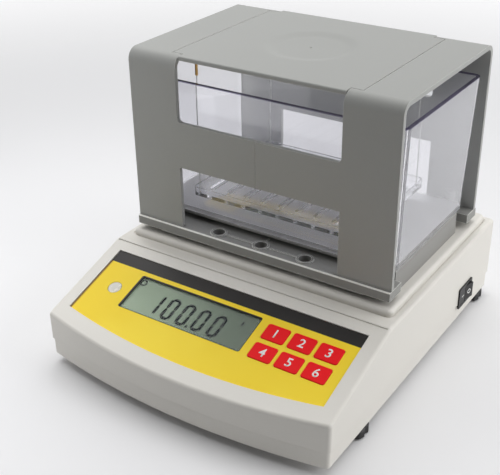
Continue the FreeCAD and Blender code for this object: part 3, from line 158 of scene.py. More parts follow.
def noise(tree, place, scale, detail, roughness=0.5, stretch=None):
    if stretch is not None:
        mapping = node(tree, "ShaderNodeMapping")
        mapping.inputs["Scale"].default_value = stretch
        join(tree, place, mapping.inputs["Vector"])
        place = mapping.outputs[0]
    made = node(tree, "ShaderNodeTexNoise")
    made.inputs["Scale"].default_value = scale
    made.inputs["Detail"].default_value = detail
    made.inputs["Roughness"].default_value = roughness
    join(tree, place, made.inputs["Vector"])
    return made.outputs["Fac"]


def group(name, inputs, outputs):
    """A shader node group with named inputs and outputs, and its two ends."""
    tree = bpy.data.node_groups.new(name, "ShaderNodeTree")
    for label, kind, value in inputs:
        socket = tree.interface.new_socket(label, in_out="INPUT", socket_type=kind)
        if value is not None:
            socket.default_value = value
    for label, kind in outputs:
        tree.interface.new_socket(label, in_out="OUTPUT", socket_type=kind)
    ends = node(tree, "NodeGroupInput", (-900, 0))
    return tree, ends, node(tree, "NodeGroupOutput", (900, 0))


def placed(tree, shared, **values):
    """A shared group set in a material, with its own values."""
    made = node(tree, "ShaderNodeGroup", node_tree=shared)
    for name, value in values.items():
        socket = made.inputs[name.replace("_", " ")]
        if hasattr(value, "links"):
            join(tree, value, socket)
        else:
            socket.default_value = value
    return made


# ---------------------------------------------------------------- shared effects

def moulded_surface():
    """Spark-eroded grain of a moulding, with the slow unevenness of its wall."""
    tree, ends, out = group(
        "Moulded surface",
        [("Place", "NodeSocketVector", None), ("Grain size", "NodeSocketFloat", 0.35),
         ("Colour", "NodeSocketColor", None), ("Variation", "NodeSocketFloat", 0.03)],
        [("Colour", "NodeSocketColor"), ("Roughness shift", "NodeSocketFloat"),
         ("Height", "NodeSocketFloat")],
    )
    place = ends.outputs["Place"]
    per_metre = maths(tree, "DIVIDE", 1000.0, ends.outputs["Grain size"])
    grain = node(tree, "ShaderNodeTexNoise")
    grain.inputs["Detail"].default_value = 2.0
    join(tree, place, grain.inputs["Vector"])
    join(tree, per_metre, grain.inputs["Scale"])
    flow = noise(tree, place, 22.0, 3.0, 0.55)
    specks = noise(tree, place, 900.0, 1.0)
    slow = maths(tree, "SUBTRACT", flow, 0.5)
    amount = maths(tree, "MULTIPLY", slow, ends.outputs["Variation"])
    fine = maths(tree, "MULTIPLY", maths(tree, "SUBTRACT", specks, 0.5),
                 maths(tree, "MULTIPLY", ends.outputs["Variation"], 0.6))
    level = maths(tree, "ADD", 1.0, maths(tree, "ADD", amount, fine))
    scaled = node(tree, "ShaderNodeVectorMath", operation="SCALE")
    join(tree, ends.outputs["Colour"], scaled.inputs[0])
    join(tree, level, scaled.inputs["Scale"])
    join(tree, scaled.outputs[0], out.inputs["Colour"])
    join(tree, maths(tree, "MULTIPLY", slow, 0.12), out.inputs["Roughness shift"])
    join(tree, grain.outputs["Fac"], out.inputs["Height"])
    return tree


def rounded_edge():
    """The small radius on a moulding's edges: the softened normal, and a mask of the edge, where a
    painted highlight is laid.
    """
    tree, ends, out = group(
        "Rounded edge",
        [("Radius", "NodeSocketFloat", 0.0004)],
        [("Normal", "NodeSocketVector"), ("Mask", "NodeSocketFloat")],
    )
    bevel = node(tree, "ShaderNodeBevel", samples=6)
    join(tree, ends.outputs["Radius"], bevel.inputs["Radius"])
    flat = node(tree, "ShaderNodeNewGeometry")
    across = node(tree, "ShaderNodeVectorMath", operation="DOT_PRODUCT")
    join(tree, bevel.outputs[0], across.inputs[0])
    join(tree, flat.outputs["Normal"], across.inputs[1])
    join(tree, bevel.outputs[0], out.inputs["Normal"])
    join(tree, spread(tree, across.outputs["Value"], 0.995, 0.86), out.inputs["Mask"])
    return tree


def finger_haze():
    """Faint smears and dust that handling leaves on a clear face, as a share from 0 to 1."""
    tree, ends, out = group(
        "Finger haze",
        [("Place", "NodeSocketVector", None), ("Amount", "NodeSocketFloat", 0.5)],
        [("Haze", "NodeSocketFloat")],
    )
    smear = noise(tree, ends.outputs["Place"], 38.0, 4.0, 0.6, (1.0, 2.2, 1.4))
    dust = noise(tree, ends.outputs["Place"], 1400.0, 1.0)
    cloud = spread(tree, smear, 0.45, 0.75)
    specks = spread(tree, dust, 0.66, 0.74)
    both = maths(tree, "MAXIMUM", cloud, maths(tree, "MULTIPLY", specks, 0.7))
    join(tree, maths(tree, "MULTIPLY", both, ends.outputs["Amount"]), out.inputs["Haze"])
    return tree


MOULDED = moulded_surface()
EDGE = rounded_edge()
HAZE = finger_haze()


def slightly_changed(colour, factor, lift=0.0):
    """The same colour a little lighter or darker, for slow unevenness."""
    return tuple(min(1.0, v * factor + lift) for v in colour[:3]) + (1.0,)


def blank(name):
    """A material with its Principled shader and its Object coordinates."""
    material = bpy.data.materials.new(name)
    material.use_nodes = True
    tree = material.node_tree
    tree.nodes.clear()
    shader = node(tree, "ShaderNodeBsdfPrincipled", (500, 0))
    out = node(tree, "ShaderNodeOutputMaterial", (900, 0))
    join(tree, shader.outputs[0], out.inputs["Surface"])
    place = node(tree, "ShaderNodeTexCoord", (-900, 0)).outputs["Object"]
    return material, tree, shader, place


def bumped(tree, shader, height, depth, strength=1.0, normal=None):
    bump = node(tree, "ShaderNodeBump")
    bump.inputs["Strength"].default_value = strength
    bump.inputs["Distance"].default_value = depth
    join(tree, height, bump.inputs["Height"])
    if normal is not None:
        join(tree, normal, bump.inputs["Normal"])
    join(tree, bump.outputs[0], shader.inputs["Normal"])


def moulded_plastic(name, colour, roughness, grain, depth, variation, edge=0.0, edge_highlight_colour=None,
                    specular=0.5, highlight_facing=None, edge_highlight_share=0.6):
    """Grained moulding. A painted highlight colour is laid on its edges, and on faces that look
    along the given direction.
    """
    material, tree, shader, place = blank(name)
    surface = placed(
        tree, MOULDED, Place=place, Grain_size=grain, Colour=colour, Variation=variation
    )
    paint = surface.outputs["Colour"]
    normal = None
    if edge:
        rim = placed(tree, EDGE, Radius=edge)
        normal = rim.outputs["Normal"]
        if edge_highlight_colour:
            # painted highlight: the edge mask blends the moulding's edges towards a lighter colour
            share = maths(tree, "MULTIPLY", rim.outputs["Mask"], edge_highlight_share)
            paint = mixed(tree, share, paint, edge_highlight_colour)
    # painted highlight: faces that look along the given direction take the lighter edge colour
    if highlight_facing:
        facing = node(tree, "ShaderNodeVectorMath", operation="DOT_PRODUCT")
        join(tree, node(tree, "ShaderNodeTexCoord").outputs["Normal"], facing.inputs[0])
        facing.inputs[1].default_value = highlight_facing
        paint = mixed(tree, spread(tree, facing.outputs["Value"], 0.88, 0.97), paint, edge_highlight_colour)
    join(tree, paint, shader.inputs["Base Color"])
    rough = maths(tree, "ADD", surface.outputs["Roughness shift"], roughness)
    join(tree, rough, shader.inputs["Roughness"])
    shader.inputs["Specular IOR Level"].default_value = specular
    bumped(tree, shader, surface.outputs["Height"], depth, 1.0, normal)
    return material


# ---------------------------------------------------------------- finishes

HOUSING = moulded_plastic(
    "housing_abs", tone(222, 219, 212), roughness=0.46, grain=0.4, depth=0.000035, variation=0.035,
    edge=0.0004,
)
# painted highlight: the frame's edges are painted lighter than its grey
FRAME = moulded_plastic(
    "frame_abs", tone(168, 169, 166), roughness=0.45, grain=0.45, depth=0.000035, variation=0.06,
    edge=0.0005, edge_highlight_colour=tone(236, 236, 232), specular=0.15,
)
# Floor plate: the frame's grey ABS painted darker as shade, because it lies under the top plate and
# tank. Its edges, and faces turned up and forwards, carry a strong painted highlight.
FLOOR = moulded_plastic(
    "floor_abs_painted_shade", tone(150, 150, 147), roughness=0.45, grain=0.45, depth=0.000035, variation=0.06,
    edge=0.0006, edge_highlight_colour=tone(255, 255, 250), specular=0.15, highlight_facing=(0.0, -0.7071, 0.7071),
    edge_highlight_share=0.95,
)
# painted highlight: the bench's edges are painted lighter than its grey
BENCH = moulded_plastic(
    "bench_abs", tone(140, 139, 136), roughness=0.35, grain=0.45, depth=0.00002, variation=0.06,
    edge=0.00035, edge_highlight_colour=tone(190, 190, 186),
)
# painted highlight: the keys' edges are painted a lighter red
KEY = moulded_plastic(
    "key_membrane", tone(242, 16, 26), roughness=0.45, grain=0.25, depth=0.00001, variation=0.05,
    edge=0.0003, edge_highlight_colour=tone(244, 60, 60), specular=0.12,
)
# painted highlight: the switch parts' edges are painted lighter than their black
SWITCH = moulded_plastic(
    "switch_nylon", tone(16, 16, 17), roughness=0.36, grain=0.3, depth=0.00001, variation=0.08,
    edge=0.0003, edge_highlight_colour=tone(60, 60, 62), specular=0.3,
)
# painted highlight: the feet's edges are painted lighter than their black rubber
FOOT = moulded_plastic(
    "foot_rubber", tone(30, 30, 31), roughness=0.6, grain=0.5, depth=0.00004, variation=0.15,
    edge=0.0003, edge_highlight_colour=tone(60, 60, 60),
)
PAD = moulded_plastic(
    "pad_rubber", tone(42, 42, 43), roughness=0.78, grain=0.6, depth=0.00005, variation=0.2,
)
HOLDER = moulded_plastic(
    "level_holder_nylon", tone(228, 228, 222), roughness=0.4, grain=0.3, depth=0.00001,
    variation=0.03, edge=0.0002,
)
CHIP = moulded_plastic(
    "chip_resin", tone(34, 34, 36), roughness=0.5, grain=0.2, depth=0.00001, variation=0.1,
)
GLOW = moulded_plastic(
    "backlight_diffuser", tone(232, 234, 228), roughness=0.5, grain=0.3, depth=0.00001,
    variation=0.02,
)


def overlay_film():
    """Yellow film with a printed black band along its top and a thin line round the display, and a
    painted shadow along its left edge, where the wall of its recess shades it.
    """
    material, tree, shader, place = blank("overlay_film")
    moved = node(tree, "ShaderNodeVectorMath", operation="SUBTRACT")
    moved.inputs[1].default_value = CREASE
    join(tree, place, moved.inputs[0])
    up = node(tree, "ShaderNodeVectorMath", operation="DOT_PRODUCT")
    up.inputs[1].default_value = PANEL_UP
    join(tree, moved.outputs[0], up.inputs[0])
    level = maths(tree, "SUBTRACT", up.outputs["Value"], FILM_BOTTOM)
    parts = node(tree, "ShaderNodeSeparateXYZ")
    join(tree, place, parts.inputs[0])
    squares = []
    for along, middle, half in zip((parts.outputs["X"], level), BORDER_MIDDLE, BORDER_HALF):
        out_from = maths(tree, "ABSOLUTE", maths(tree, "SUBTRACT", along, middle))
        past = maths(tree, "SUBTRACT", out_from, half - BORDER_CORNER)
        past = maths(tree, "MAXIMUM", 0.0, past)
        squares.append(maths(tree, "MULTIPLY", past, past))
    beyond = maths(tree, "SQRT", maths(tree, "ADD", *squares))
    border = spread(
        tree, beyond, BORDER_CORNER + PRINT_EDGE, BORDER_CORNER - PRINT_EDGE, smooth=False
    )
    band = spread(tree, level, BAND_BOTTOM - PRINT_EDGE, BAND_BOTTOM + PRINT_EDGE, smooth=False)
    grain = noise(tree, place, 2600.0, 1.0)
    flow = noise(tree, place, 18.0, 2.0)
    yellow = mixed(tree, spread(tree, flow, 0.3, 0.7), tone(254, 225, 58), tone(249, 217, 44))
    black = mixed(tree, spread(tree, flow, 0.3, 0.7), tone(40, 37, 35), tone(32, 30, 29))
    # painted shadow: the yellow turns brown along the film's left edge, for the shade of the recess
    # wall
    painted_recess_shadow = spread(tree, parts.outputs["X"], FILM_LEFT + 1.9 * MM, FILM_LEFT + 0.6 * MM)
    yellow = mixed(tree, painted_recess_shadow, yellow, tone(138, 102, 38))
    printed = mixed(tree, maths(tree, "MAXIMUM", border, band), yellow, black)
    join(tree, printed, shader.inputs["Base Color"])
    join(tree, spread(tree, grain, 0.3, 0.7, 0.34, 0.42), shader.inputs["Roughness"])
    shader.inputs["Specular IOR Level"].default_value = 0.16
    bumped(tree, shader, grain, 0.000006, 0.6)
    return material


def display_glass():
    """Grey-green display, with painted shade making it darker towards its right end."""
    material, tree, shader, place = blank("display_glass")
    parts = node(tree, "ShaderNodeSeparateXYZ")
    join(tree, place, parts.inputs[0])
    # painted shade: the display darkens from its left end towards its right end
    across = spread(tree, parts.outputs["X"], DISPLAY_LEFT, DISPLAY_RIGHT)
    across = maths(tree, "MULTIPLY", across, 0.8)
    cloud = maths(tree, "MULTIPLY", noise(tree, place, 30.0, 2.0), 0.25)
    shade = maths(tree, "ADD", across, cloud, clamp=True)
    glass = mixed(tree, shade, tone(136, 151, 130), tone(76, 86, 75))
    join(tree, glass, shader.inputs["Base Color"])
    shader.inputs["Roughness"].default_value = 0.32
    shader.inputs["Specular IOR Level"].default_value = 0.2
    bumped(tree, shader, noise(tree, place, 3200.0, 1.0), 0.000003, 0.5)
    return material


def clear_plastic(name, colour, haze, ior=1.49, clear=1.0, shade=1.0, rim_shade_colour=None,
                  rim_level=None, foot_level=None):
    """Clear moulding that lets lamps through, with faint smears.

    A tank also has a painted dark rim above rim_level, standing in for the shade its cut edge shows
    by internal reflection, and a milky foot below foot_level.
    """
    material, tree, shader, place = blank(name)
    shader.inputs["Transmission Weight"].default_value = clear
    shader.inputs["IOR"].default_value = ior
    smears = placed(tree, HAZE, Place=place, Amount=haze).outputs["Haze"]
    rough = spread(tree, smears, 0.0, 1.0, 0.015, 0.13, smooth=False)
    tint = mixed(tree, maths(tree, "MULTIPLY", smears, 0.3), colour, tone(236, 236, 238))
    if rim_shade_colour is not None:
        parts = node(tree, "ShaderNodeSeparateXYZ")
        join(tree, place, parts.inputs[0])
        # painted shade: the cut rim is tinted dark violet, for the shade its clear edge shows by
        # internal reflection
        rim = spread(tree, parts.outputs["Z"], rim_level - 0.7 * MM, rim_level - 0.3 * MM)
        tint = mixed(tree, rim, tint, rim_shade_colour)
        foot = spread(tree, parts.outputs["Z"], foot_level + 0.5 * MM, foot_level)
        rough = maths(tree, "MAXIMUM", rough, maths(tree, "MULTIPLY", foot, 0.3))
    join(tree, rough, shader.inputs["Roughness"])
    join(tree, tint, shader.inputs["Base Color"])
    through = node(tree, "ShaderNodeBsdfTransparent")
    cast = mixed(tree, 1.0, tint, (shade, shade, shade, 1.0), "MULTIPLY")
    join(tree, cast, through.inputs["Color"])
    path = node(tree, "ShaderNodeLightPath")
    passes = node(tree, "ShaderNodeMixShader", (700, 0))
    join(tree, path.outputs["Is Shadow Ray"], passes.inputs[0])
    join(tree, shader.outputs[0], passes.inputs[1])
    join(tree, through.outputs[0], passes.inputs[2])
    join(tree, passes.outputs[0], tree.nodes["Material Output"].inputs["Surface"])
    return material


def milky_plastic(name, colour):
    """Whitish clear moulding that hides most of what lies under it."""
    material, tree, shader, place = blank(name)
    cloud = noise(tree, place, 260.0, 2.0)
    paint = mixed(tree, spread(tree, cloud, 0.3, 0.7), colour, slightly_changed(colour, 1.06))
    join(tree, paint, shader.inputs["Base Color"])
    join(tree, spread(tree, cloud, 0.3, 0.7, 0.2, 0.3), shader.inputs["Roughness"])
    shader.inputs["Transmission Weight"].default_value = 0.2
    shader.inputs["IOR"].default_value = 1.3
    return material


def metal(name, colour, roughness, scale, stretch):
    """Drawn or turned metal with fine marks along the way it was worked."""
    material, tree, shader, place = blank(name)
    shader.inputs["Metallic"].default_value = 1.0
    marks = noise(tree, place, scale, 2.0, 0.5, stretch)
    tarnish = noise(tree, place, 120.0, 3.0)
    paint = mixed(tree, spread(tree, tarnish, 0.35, 0.75), colour, slightly_changed(colour, 0.82))
    join(tree, paint, shader.inputs["Base Color"])
    rough = spread(tree, marks, 0.3, 0.7, roughness - 0.06, roughness + 0.08)
    join(tree, rough, shader.inputs["Roughness"])
    bumped(tree, shader, marks, 0.000004, 0.6)
    return material


def circuit_board():
    """Green solder mask over faint copper tracks."""
    material, tree, shader, place = blank("circuit_board")
    brick = node(tree, "ShaderNodeTexBrick")
    brick.inputs["Scale"].default_value = 220.0
    brick.inputs["Mortar Size"].default_value = 0.06
    join(tree, place, brick.inputs["Vector"])
    tracks = mixed(tree, brick.outputs["Fac"], tone(22, 92, 48), tone(34, 118, 62))
    join(tree, tracks, shader.inputs["Base Color"])
    shader.inputs["Roughness"].default_value = 0.35
    bumped(tree, shader, brick.outputs["Fac"], 0.00002, 0.5)
    return material


def ink(name, colour, roughness=0.45, specular=0.5):
    """Screen-printed ink, very slightly uneven."""
    material, tree, shader, place = blank(name)
    cover = noise(tree, place, 900.0, 2.0)
    paler = slightly_changed(colour, 1.1, 0.004)
    paint = mixed(tree, spread(tree, cover, 0.35, 0.75), colour, paler)
    join(tree, paint, shader.inputs["Base Color"])
    rough = spread(tree, cover, 0.3, 0.7, roughness - 0.05, roughness + 0.05)
    join(tree, rough, shader.inputs["Roughness"])
    shader.inputs["Specular IOR Level"].default_value = specular
    return material


OVERLAY = overlay_film()
DISPLAY = display_glass()
LENS = clear_plastic("clear_lens", tone(250, 252, 250), haze=0.1, ior=1.15)
# The dark violet rim colour is painted shade on the clear acrylic's cut edge.
TANK = clear_plastic(
    "tank_acrylic", tone(251, 251, 254), haze=0.3, clear=0.92, shade=0.84,
    rim_shade_colour=tone(96, 86, 128), rim_level=TANK_RIM, foot_level=TANK_FLOOR,
)
TRAY = clear_plastic("tray_acrylic", tone(250, 250, 252), haze=0.3, ior=1.3)
DISC = milky_plastic("level_disc_acrylic", tone(232, 230, 221))
VIAL = clear_plastic("level_vial_acrylic", tone(244, 248, 232), haze=0.05)
STEEL = metal("bright_steel", tone(196, 196, 194), 0.28, 900.0, (1.0, 1.0, 0.15))
SCREW = metal("zinc_plated_steel", tone(186, 188, 192), 0.33, 600.0, (1.0, 1.0, 0.4))
BRASS = metal("ferrule_brass", tone(190, 152, 92), 0.3, 900.0, (1.0, 1.0, 0.2))
ALUMINIUM = metal("milled_aluminium", tone(202, 204, 206), 0.38, 500.0, (1.0, 6.0, 1.0))
BOARD = circuit_board()
DIGIT_INK = ink("display_segment", tone(10, 16, 18), 0.5, 0.1)
WHITE_INK = ink("white_ink", tone(238, 238, 236))

WEARS = {
    HOUSING: ("lower_housing", "upper_housing", "display_bosses"),
    OVERLAY: ("control_overlay",),
    LENS: ("lcd_lens",),
    DISC: ("level_window",),
    DISPLAY: ("lcd_panel",),
    GLOW: ("lcd_backlight",),
    KEY: ("key_1", "key_2", "key_3", "key_4", "key_5", "key_6"),
    SWITCH: ("power_switch_body", "power_rocker", "tact_switches", "dc_inlet"),
    VIAL: ("level_vial",),
    HOLDER: ("level_holder",),
    FRAME: ("frame_left", "frame_right", "top_plate"),
    FLOOR: ("floor_plate",),
    BENCH: ("tank_bench",),
    TANK: ("water_tank",),
    TRAY: ("basket_tray",),
    BRASS: ("hanger_ferrules", "foot_inserts", "switch_terminals"),
    STEEL: ("hanger_wires", "support_posts"),
    SCREW: ("display_screws", "board_screws", "housing_screws", "frame_screws", "load_cell_bolts",
            "pan_bolts", "overload_stops"),
    ALUMINIUM: ("load_cell", "load_cell_base", "pan_support"),
    BOARD: ("display_board", "main_board"),
    CHIP: ("board_chips",),
    PAD: ("support_pads", "foot_pad_front_left", "foot_pad_front_right", "foot_pad_rear_left",
          "foot_pad_rear_right"),
    FOOT: ("foot_front_left", "foot_front_right", "foot_rear_left", "foot_rear_right"),
}

for material, names in WEARS.items():
    for name in names:
        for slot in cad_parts[name].material_slots:
            slot.material = material


# ---------------------------------------------------------------- making pieces

def mesh_object(name, shape, material):
    """The bmesh, used up, as an object in the scene."""
    mesh = bpy.data.meshes.new(name)
    shape.to_mesh(mesh)
    shape.free()
    mesh.materials.append(material)
    made = bpy.data.objects.new(name, mesh)
    bpy.context.scene.collection.objects.link(made)
    return made


def piece(name, shape, material, body):
    """The bmesh as a finished piece that rides on a body."""
    bmesh.ops.recalc_face_normals(shape, faces=shape.faces)
    made = mesh_object(name, shape, material)
    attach(made, body)
    return made


def thicken(shape, along):
    """Gives the flat faces of the bmesh a depth."""
    solid = bmesh.ops.extrude_face_region(shape, geom=list(shape.faces))
    moved = [g for g in solid["geom"] if isinstance(g, bmesh.types.BMVert)]
    bmesh.ops.translate(shape, vec=along, verts=moved)


def flat_ring(shape, radius, hole, segments=32, at=(0, 0, 0)):
    """A flat ring round a point."""
    corners = []
    for size in (radius, hole):
        made = bmesh.ops.create_circle(shape, segments=segments, radius=size)
        corners += made["verts"]
    bmesh.ops.translate(shape, vec=at, verts=corners)
    edges = [e for e in shape.edges if e.verts[0] in corners]
    bmesh.ops.bridge_loops(shape, edges=edges)


def bar(shape, x, y, length, width, upright):
    """One display segment: a thin bar with pointed ends, in millimetres."""
    quad = bmesh.ops.create_grid(shape, x_segments=1, y_segments=1, size=0.5)["verts"]
    size = (width, length, 1) if upright else (length, width, 1)
    bmesh.ops.scale(shape, vec=size, verts=quad)
    bmesh.ops.translate(shape, vec=(x, y, 0), verts=quad)
    bmesh.ops.bevel(shape, geom=quad, offset=width * 0.3, offset_type="OFFSET",
                    affect="VERTICES", segments=1, profile=0.5, material=-1)


def on_panel(x, up, out):
    """A place on the panel: x from the middle, up from the film's lower edge, out of the slope."""
    turn = Matrix((Vector((1, 0, 0)), PANEL_UP, PANEL_OUT)).transposed().to_4x4()
    across = Vector((x, 0, 0)) * MM
    point = CREASE + across + PANEL_UP * (FILM_BOTTOM + up * MM) + PANEL_OUT * out * MM
    return Matrix.Translation(point) @ turn


# ---------------------------------------------------------------- printed marks

SEGMENTS = {"0": "abcdef", "1": "bc"}


def display_reading(text):
    """Seven-segment digits on the display glass, a ring at its left and a mark at its right."""
    shape = bmesh.new()
    half_w = (DIGIT_WIDTH - SEGMENT_WIDTH) / 2
    half_h = (DIGIT_HEIGHT - SEGMENT_WIDTH) / 2
    places = {
        "a": (0, half_h, False), "d": (0, -half_h, False),
        "f": (-half_w, half_h / 2, True), "b": (half_w, half_h / 2, True),
        "e": (-half_w, -half_h / 2, True), "c": (half_w, -half_h / 2, True),
    }
    digits = text.replace(".", "")
    for place, digit in enumerate(digits):
        x = DIGIT_LAST_X - (len(digits) - 1 - place) * DIGIT_PITCH
        for letter in SEGMENTS[digit]:
            dx, dy, upright = places[letter]
            length = (half_h if upright else 2 * half_w) - SEGMENT_GAP
            bar(shape, x + dx, dy, length, SEGMENT_WIDTH, upright)
    after_point = len(digits) - text.index(".")
    x = DIGIT_LAST_X - (after_point - 0.5) * DIGIT_PITCH
    bar(shape, x - 0.1, -half_h, 2.0, 2.0, True)
    flat_ring(shape, 2.6, 1.5, 24, (-59.4, 11.5, 0))
    bar(shape, 18.3, 7.9, 3.2, 1.4, True)
    for vert in shape.verts:
        vert.co.x += vert.co.y * DIGIT_LEAN
    thicken(shape, (0, 0, DISPLAY_MARK_THICKNESS))
    bmesh.ops.scale(shape, vec=(MM, MM, MM), verts=shape.verts)
    place = on_panel(0, DIGIT_MIDDLE, -DISPLAY_DEPTH)
    bmesh.ops.transform(shape, matrix=place, verts=shape.verts)
    piece("display_reading", shape, DIGIT_INK, "base")


def key_figure(text, place):
    """A flat mesh of a plain figure, centred and laid at a place."""
    curve = bpy.data.curves.new("figure", "FONT")
    curve.body = text
    curve.size = KEY_FIGURE_HEIGHT
    curve.align_x = "CENTER"
    curve.align_y = "CENTER"
    curve.offset = KEY_FIGURE_HEIGHT * 0.012
    curve.resolution_u = 6
    made = bpy.data.objects.new("figure", curve)
    mesh = bpy.data.meshes.new_from_object(made)
    shape = bmesh.new()
    shape.from_mesh(mesh)
    bpy.data.objects.remove(made)
    bpy.data.curves.remove(curve)
    bpy.data.meshes.remove(mesh)
    low = [min(v.co[i] for v in shape.verts) for i in range(2)]
    high = [max(v.co[i] for v in shape.verts) for i in range(2)]
    middle = Vector(((low[0] + high[0]) / 2, (low[1] + high[1]) / 2, 0))
    bmesh.ops.translate(shape, vec=-middle, verts=shape.verts)
    bmesh.ops.remove_doubles(shape, verts=shape.verts, dist=1e-7)
    thicken(shape, (0, 0, FIGURE_THICKNESS * MM))
    bmesh.ops.transform(shape, matrix=place, verts=shape.verts)
    return shape


def key_figures():
    """The plain numbers 1 to 6 on the keys."""
    for number in range(6):
        place = on_panel(KEY_COLUMNS[number % 3], KEY_ROWS[number // 3], KEY_TOP)
        key = f"key_{number + 1}"
        piece(f"{key}_figure", key_figure(str(number + 1), place), WHITE_INK, key)


def level_mark():
    """The black ring on top of the level, which its bubble is brought inside."""
    low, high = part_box("level_vial")
    centre = (low + high) / 2
    shape = bmesh.new()
    flat_ring(shape, 2.1 * MM, 1.85 * MM)
    thicken(shape, (0, 0, MARK_THICKNESS * MM))
    bmesh.ops.translate(shape, vec=(centre.x, centre.y, high.z), verts=shape.verts)
    piece("level_ring", shape, DIGIT_INK, "base")


def rocker_marks():
    """ON line on the pressed half of the rocker and OFF ring on the raised half, printed white."""
    pivot = Vector((101.0, 73.7, 22.4)) * MM
    face, half_length, raised = 0.9, 4.3, 12.0
    outward = Matrix((Vector((0, 1, 0)), Vector((0, 0, 1)), Vector((1, 0, 0))))
    outward = outward.transposed().to_4x4()
    for name, middle, tilt in (
            ("rocker_on_line", -half_length, 0.0), ("rocker_off_ring", half_length, raised)):
        shape = bmesh.new()
        if name == "rocker_on_line":
            quad = bmesh.ops.create_grid(shape, x_segments=1, y_segments=1, size=0.5)["verts"]
            bmesh.ops.scale(shape, vec=(3.4, 0.65, 1), verts=quad)
        else:
            flat_ring(shape, 1.75, 1.1)
        bmesh.ops.translate(shape, vec=(middle, 0, face), verts=shape.verts)
        thicken(shape, (0, 0, MARK_THICKNESS))
        bmesh.ops.scale(shape, vec=(MM, MM, MM), verts=shape.verts)
        turn = Matrix.Rotation(math.radians(-tilt), 4, "Z")
        place = Matrix.Translation(pivot) @ turn @ outward
        bmesh.ops.transform(shape, matrix=place, verts=shape.verts)
        piece(name, shape, WHITE_INK, "rocker")


# ---------------------------------------------------------------- pieces that stand for CAD nodes

def tank_stand():
    """The channel under the tank, whose front end lies hidden behind the frame's front."""
    half, wall, bottom, top = 88.6, 2.5, 62.3, 77.8
    front, rear, end_round = -12.0, 77.75, 1.2
    section = (
        (-half, bottom), (wall - half, bottom), (wall - half, top - wall),
        (half - wall, top - wall), (half - wall, bottom), (half, bottom), (half, top), (-half, top),
    )
    shape = bmesh.new()
    shape.faces.new([shape.verts.new(Vector((x, front, z)) * MM) for x, z in section])
    thicken(shape, (0, (rear - front) * MM, 0))
    ends = [
        e for e in shape.edges
        if all(abs(v.co.x) > (half - 0.1) * MM and v.co.z > (top - 0.1) * MM for v in e.verts)
    ]
    bmesh.ops.bevel(shape, geom=ends, offset=end_round * MM, offset_type="OFFSET",
                    affect="EDGES", segments=4, profile=0.5, material=-1)
    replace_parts(piece("tank_stand", shape, BENCH, "base"), "tank_bench")


def load_cell_beam():
    """The load cell, cut into slices across its length between the end on its spacer and the end
    under the weighing frame.
    """
    shape = bmesh.new()
    shape.from_mesh(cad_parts["load_cell"].data)
    bmesh.ops.remove_doubles(shape, verts=shape.verts, dist=1e-7)
    fixed, free, height, steps = 17.8 * MM, 58.0 * MM, 29.4 * MM, 8
    for step in range(steps + 1):
        y = fixed + (free - fixed) * step / steps
        everything = shape.verts[:] + shape.edges[:] + shape.faces[:]
        bmesh.ops.bisect_plane(shape, geom=everything, dist=1e-6,
                               plane_co=(0, y, 0), plane_no=(0, 1, 0))
    bmesh.ops.recalc_face_normals(shape, faces=shape.faces)
    beam = mesh_object("load_cell_beam", shape, ALUMINIUM)
    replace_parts(beam, "load_cell")
    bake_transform(beam)


display_reading("100.00")
key_figures()
level_mark()
tank_stand()
load_cell_beam()
rocker_marks()


# ---------------------------------------------------------------- counter, lamps and camera

def seen_directly(tree):
    """1 for what the eye, a mirror or clear plastic shows, 0 for what only lights surfaces."""
    rays = node(tree, "ShaderNodeLightPath").outputs
    mirrored = maths(tree, "MAXIMUM", rays["Is Glossy Ray"], rays["Is Transmission Ray"])
    return maths(tree, "MAXIMUM", rays["Is Camera Ray"], mirrored)


def counter():
    """Pale counter, seen as almost white. What it throws back to the tester is strongest nearby."""
    material, tree, shader, place = blank("counter_top")
    cloud = noise(tree, place, 2.5, 2.0)
    pale = mixed(tree, cloud, tone(238, 238, 239), tone(235, 235, 237))
    seen = seen_directly(tree)
    away = node(tree, "ShaderNodeVectorMath", operation="LENGTH")
    join(tree, place, away.inputs[0])
    close = spread(tree, away.outputs["Value"], 0.45, 0.15)
    bounce = mixed(tree, close, tone(166, 166, 168), tone(232, 232, 233))
    join(tree, mixed(tree, seen, bounce, pale), shader.inputs["Base Color"])
    far = spread(tree, away.outputs["Value"], 0.4, 1.1)
    shader.inputs["Emission Color"].default_value = tone(255, 255, 255)
    lift = maths(tree, "MULTIPLY", maths(tree, "MULTIPLY", seen, far), 0.36)
    join(tree, lift, shader.inputs["Emission Strength"])
    shader.inputs["Roughness"].default_value = 0.7
    shader.inputs["Specular IOR Level"].default_value = 0.2
    shape = bmesh.new()
    bmesh.ops.create_grid(shape, x_segments=1, y_segments=1, size=6.0)
    made = mesh_object("counter", shape, material)


def room():
    """Pale room: soft light from all round, and a plain near-white where it is seen."""
    world = bpy.data.worlds.new("studio")
    bpy.context.scene.world = world
    world.use_nodes = True
    tree = world.node_tree
    tree.nodes.clear()
    soft = node(tree, "ShaderNodeBackground")
    soft.inputs["Color"].default_value = tone(255, 255, 255)
    soft.inputs["Strength"].default_value = 0.07
    seen = node(tree, "ShaderNodeBackground")
    seen.inputs["Color"].default_value = tone(240, 241, 243)
    seen.inputs["Strength"].default_value = 1.0
    both = node(tree, "ShaderNodeMixShader")
    join(tree, seen_directly(tree), both.inputs[0])
    join(tree, soft.outputs[0], both.inputs[1])
    join(tree, seen.outputs[0], both.inputs[2])
    join(tree, both.outputs[0], node(tree, "ShaderNodeOutputWorld").inputs["Surface"])


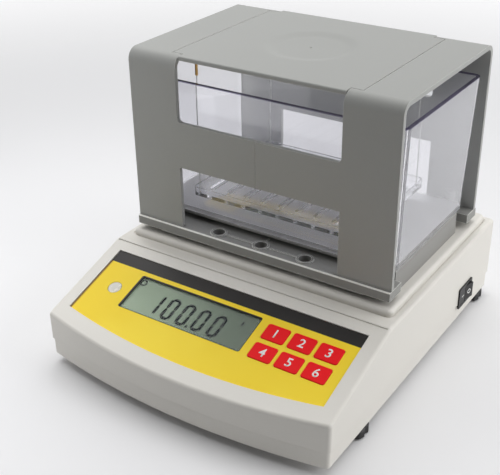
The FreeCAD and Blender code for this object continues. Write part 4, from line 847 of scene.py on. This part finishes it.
def far_lamp(name, towards, strength, width):
    """Broad even light from one side."""
    light = bpy.data.lights.new(name, "SUN")
    light.energy = strength
    light.angle = math.radians(width)
    made = bpy.data.objects.new(name, light)
    made.rotation_euler = Vector(towards).to_track_quat("Z", "Y").to_euler()
    bpy.context.scene.collection.objects.link(made)


def near_lamp(name, place, power, width):
    """A soft box that faces the tester."""
    light = bpy.data.lights.new(name, "AREA")
    light.energy = power
    light.size = width
    made = bpy.data.objects.new(name, light)
    made.location = place
    away = Vector(place) - Vector((0.0, 0.0, 0.08))
    made.rotation_euler = away.to_track_quat("Z", "Y").to_euler()
    bpy.context.scene.collection.objects.link(made)


def camera():
    """Looks down at the tester's front right corner, very slightly turned about its own axis."""
    place = Vector((278.8321, -444.4148, 356.3446)) * MM
    azimuth, height = math.radians(34.032), math.radians(28.6989)
    turn = math.radians(-0.8001)
    focal_length, picture_width, film_width = 934.0353, 500, 36.0
    level = math.cos(height)
    back = Vector((math.sin(azimuth) * level, -math.cos(azimuth) * level, math.sin(height)))
    across = Vector((0, 0, 1)).cross(back).normalized()
    up = back.cross(across)
    right = across * math.cos(turn) + up * math.sin(turn)
    top = up * math.cos(turn) - across * math.sin(turn)
    data = bpy.data.cameras.new("camera")
    data.sensor_width = film_width
    data.lens = focal_length * film_width / picture_width
    data.clip_start = 0.01
    data.clip_end = 50.0
    made = bpy.data.objects.new("camera", data)
    facing = Matrix((right, top, back)).transposed().to_4x4()
    made.matrix_world = Matrix.Translation(place) @ facing
    bpy.context.scene.collection.objects.link(made)
    bpy.context.scene.camera = made


counter()
room()
far_lamp("ceiling_light", (-0.1, 0.35, 1.0), 1.95, 74)
near_lamp("right_soft_box", (0.80, 0.30, 0.40), 4.9, 0.7)
near_lamp("left_soft_box", (-0.32, -0.15, 0.28), 0.36, 0.3)
near_lamp("upper_left_box", (-0.36, 0.10, 0.52), 0.5, 0.35)
near_lamp("low_left_box", (-0.30, -0.28, 0.07), 0.12, 0.2)
camera()

bpy.context.scene.view_settings.view_transform = "Standard"
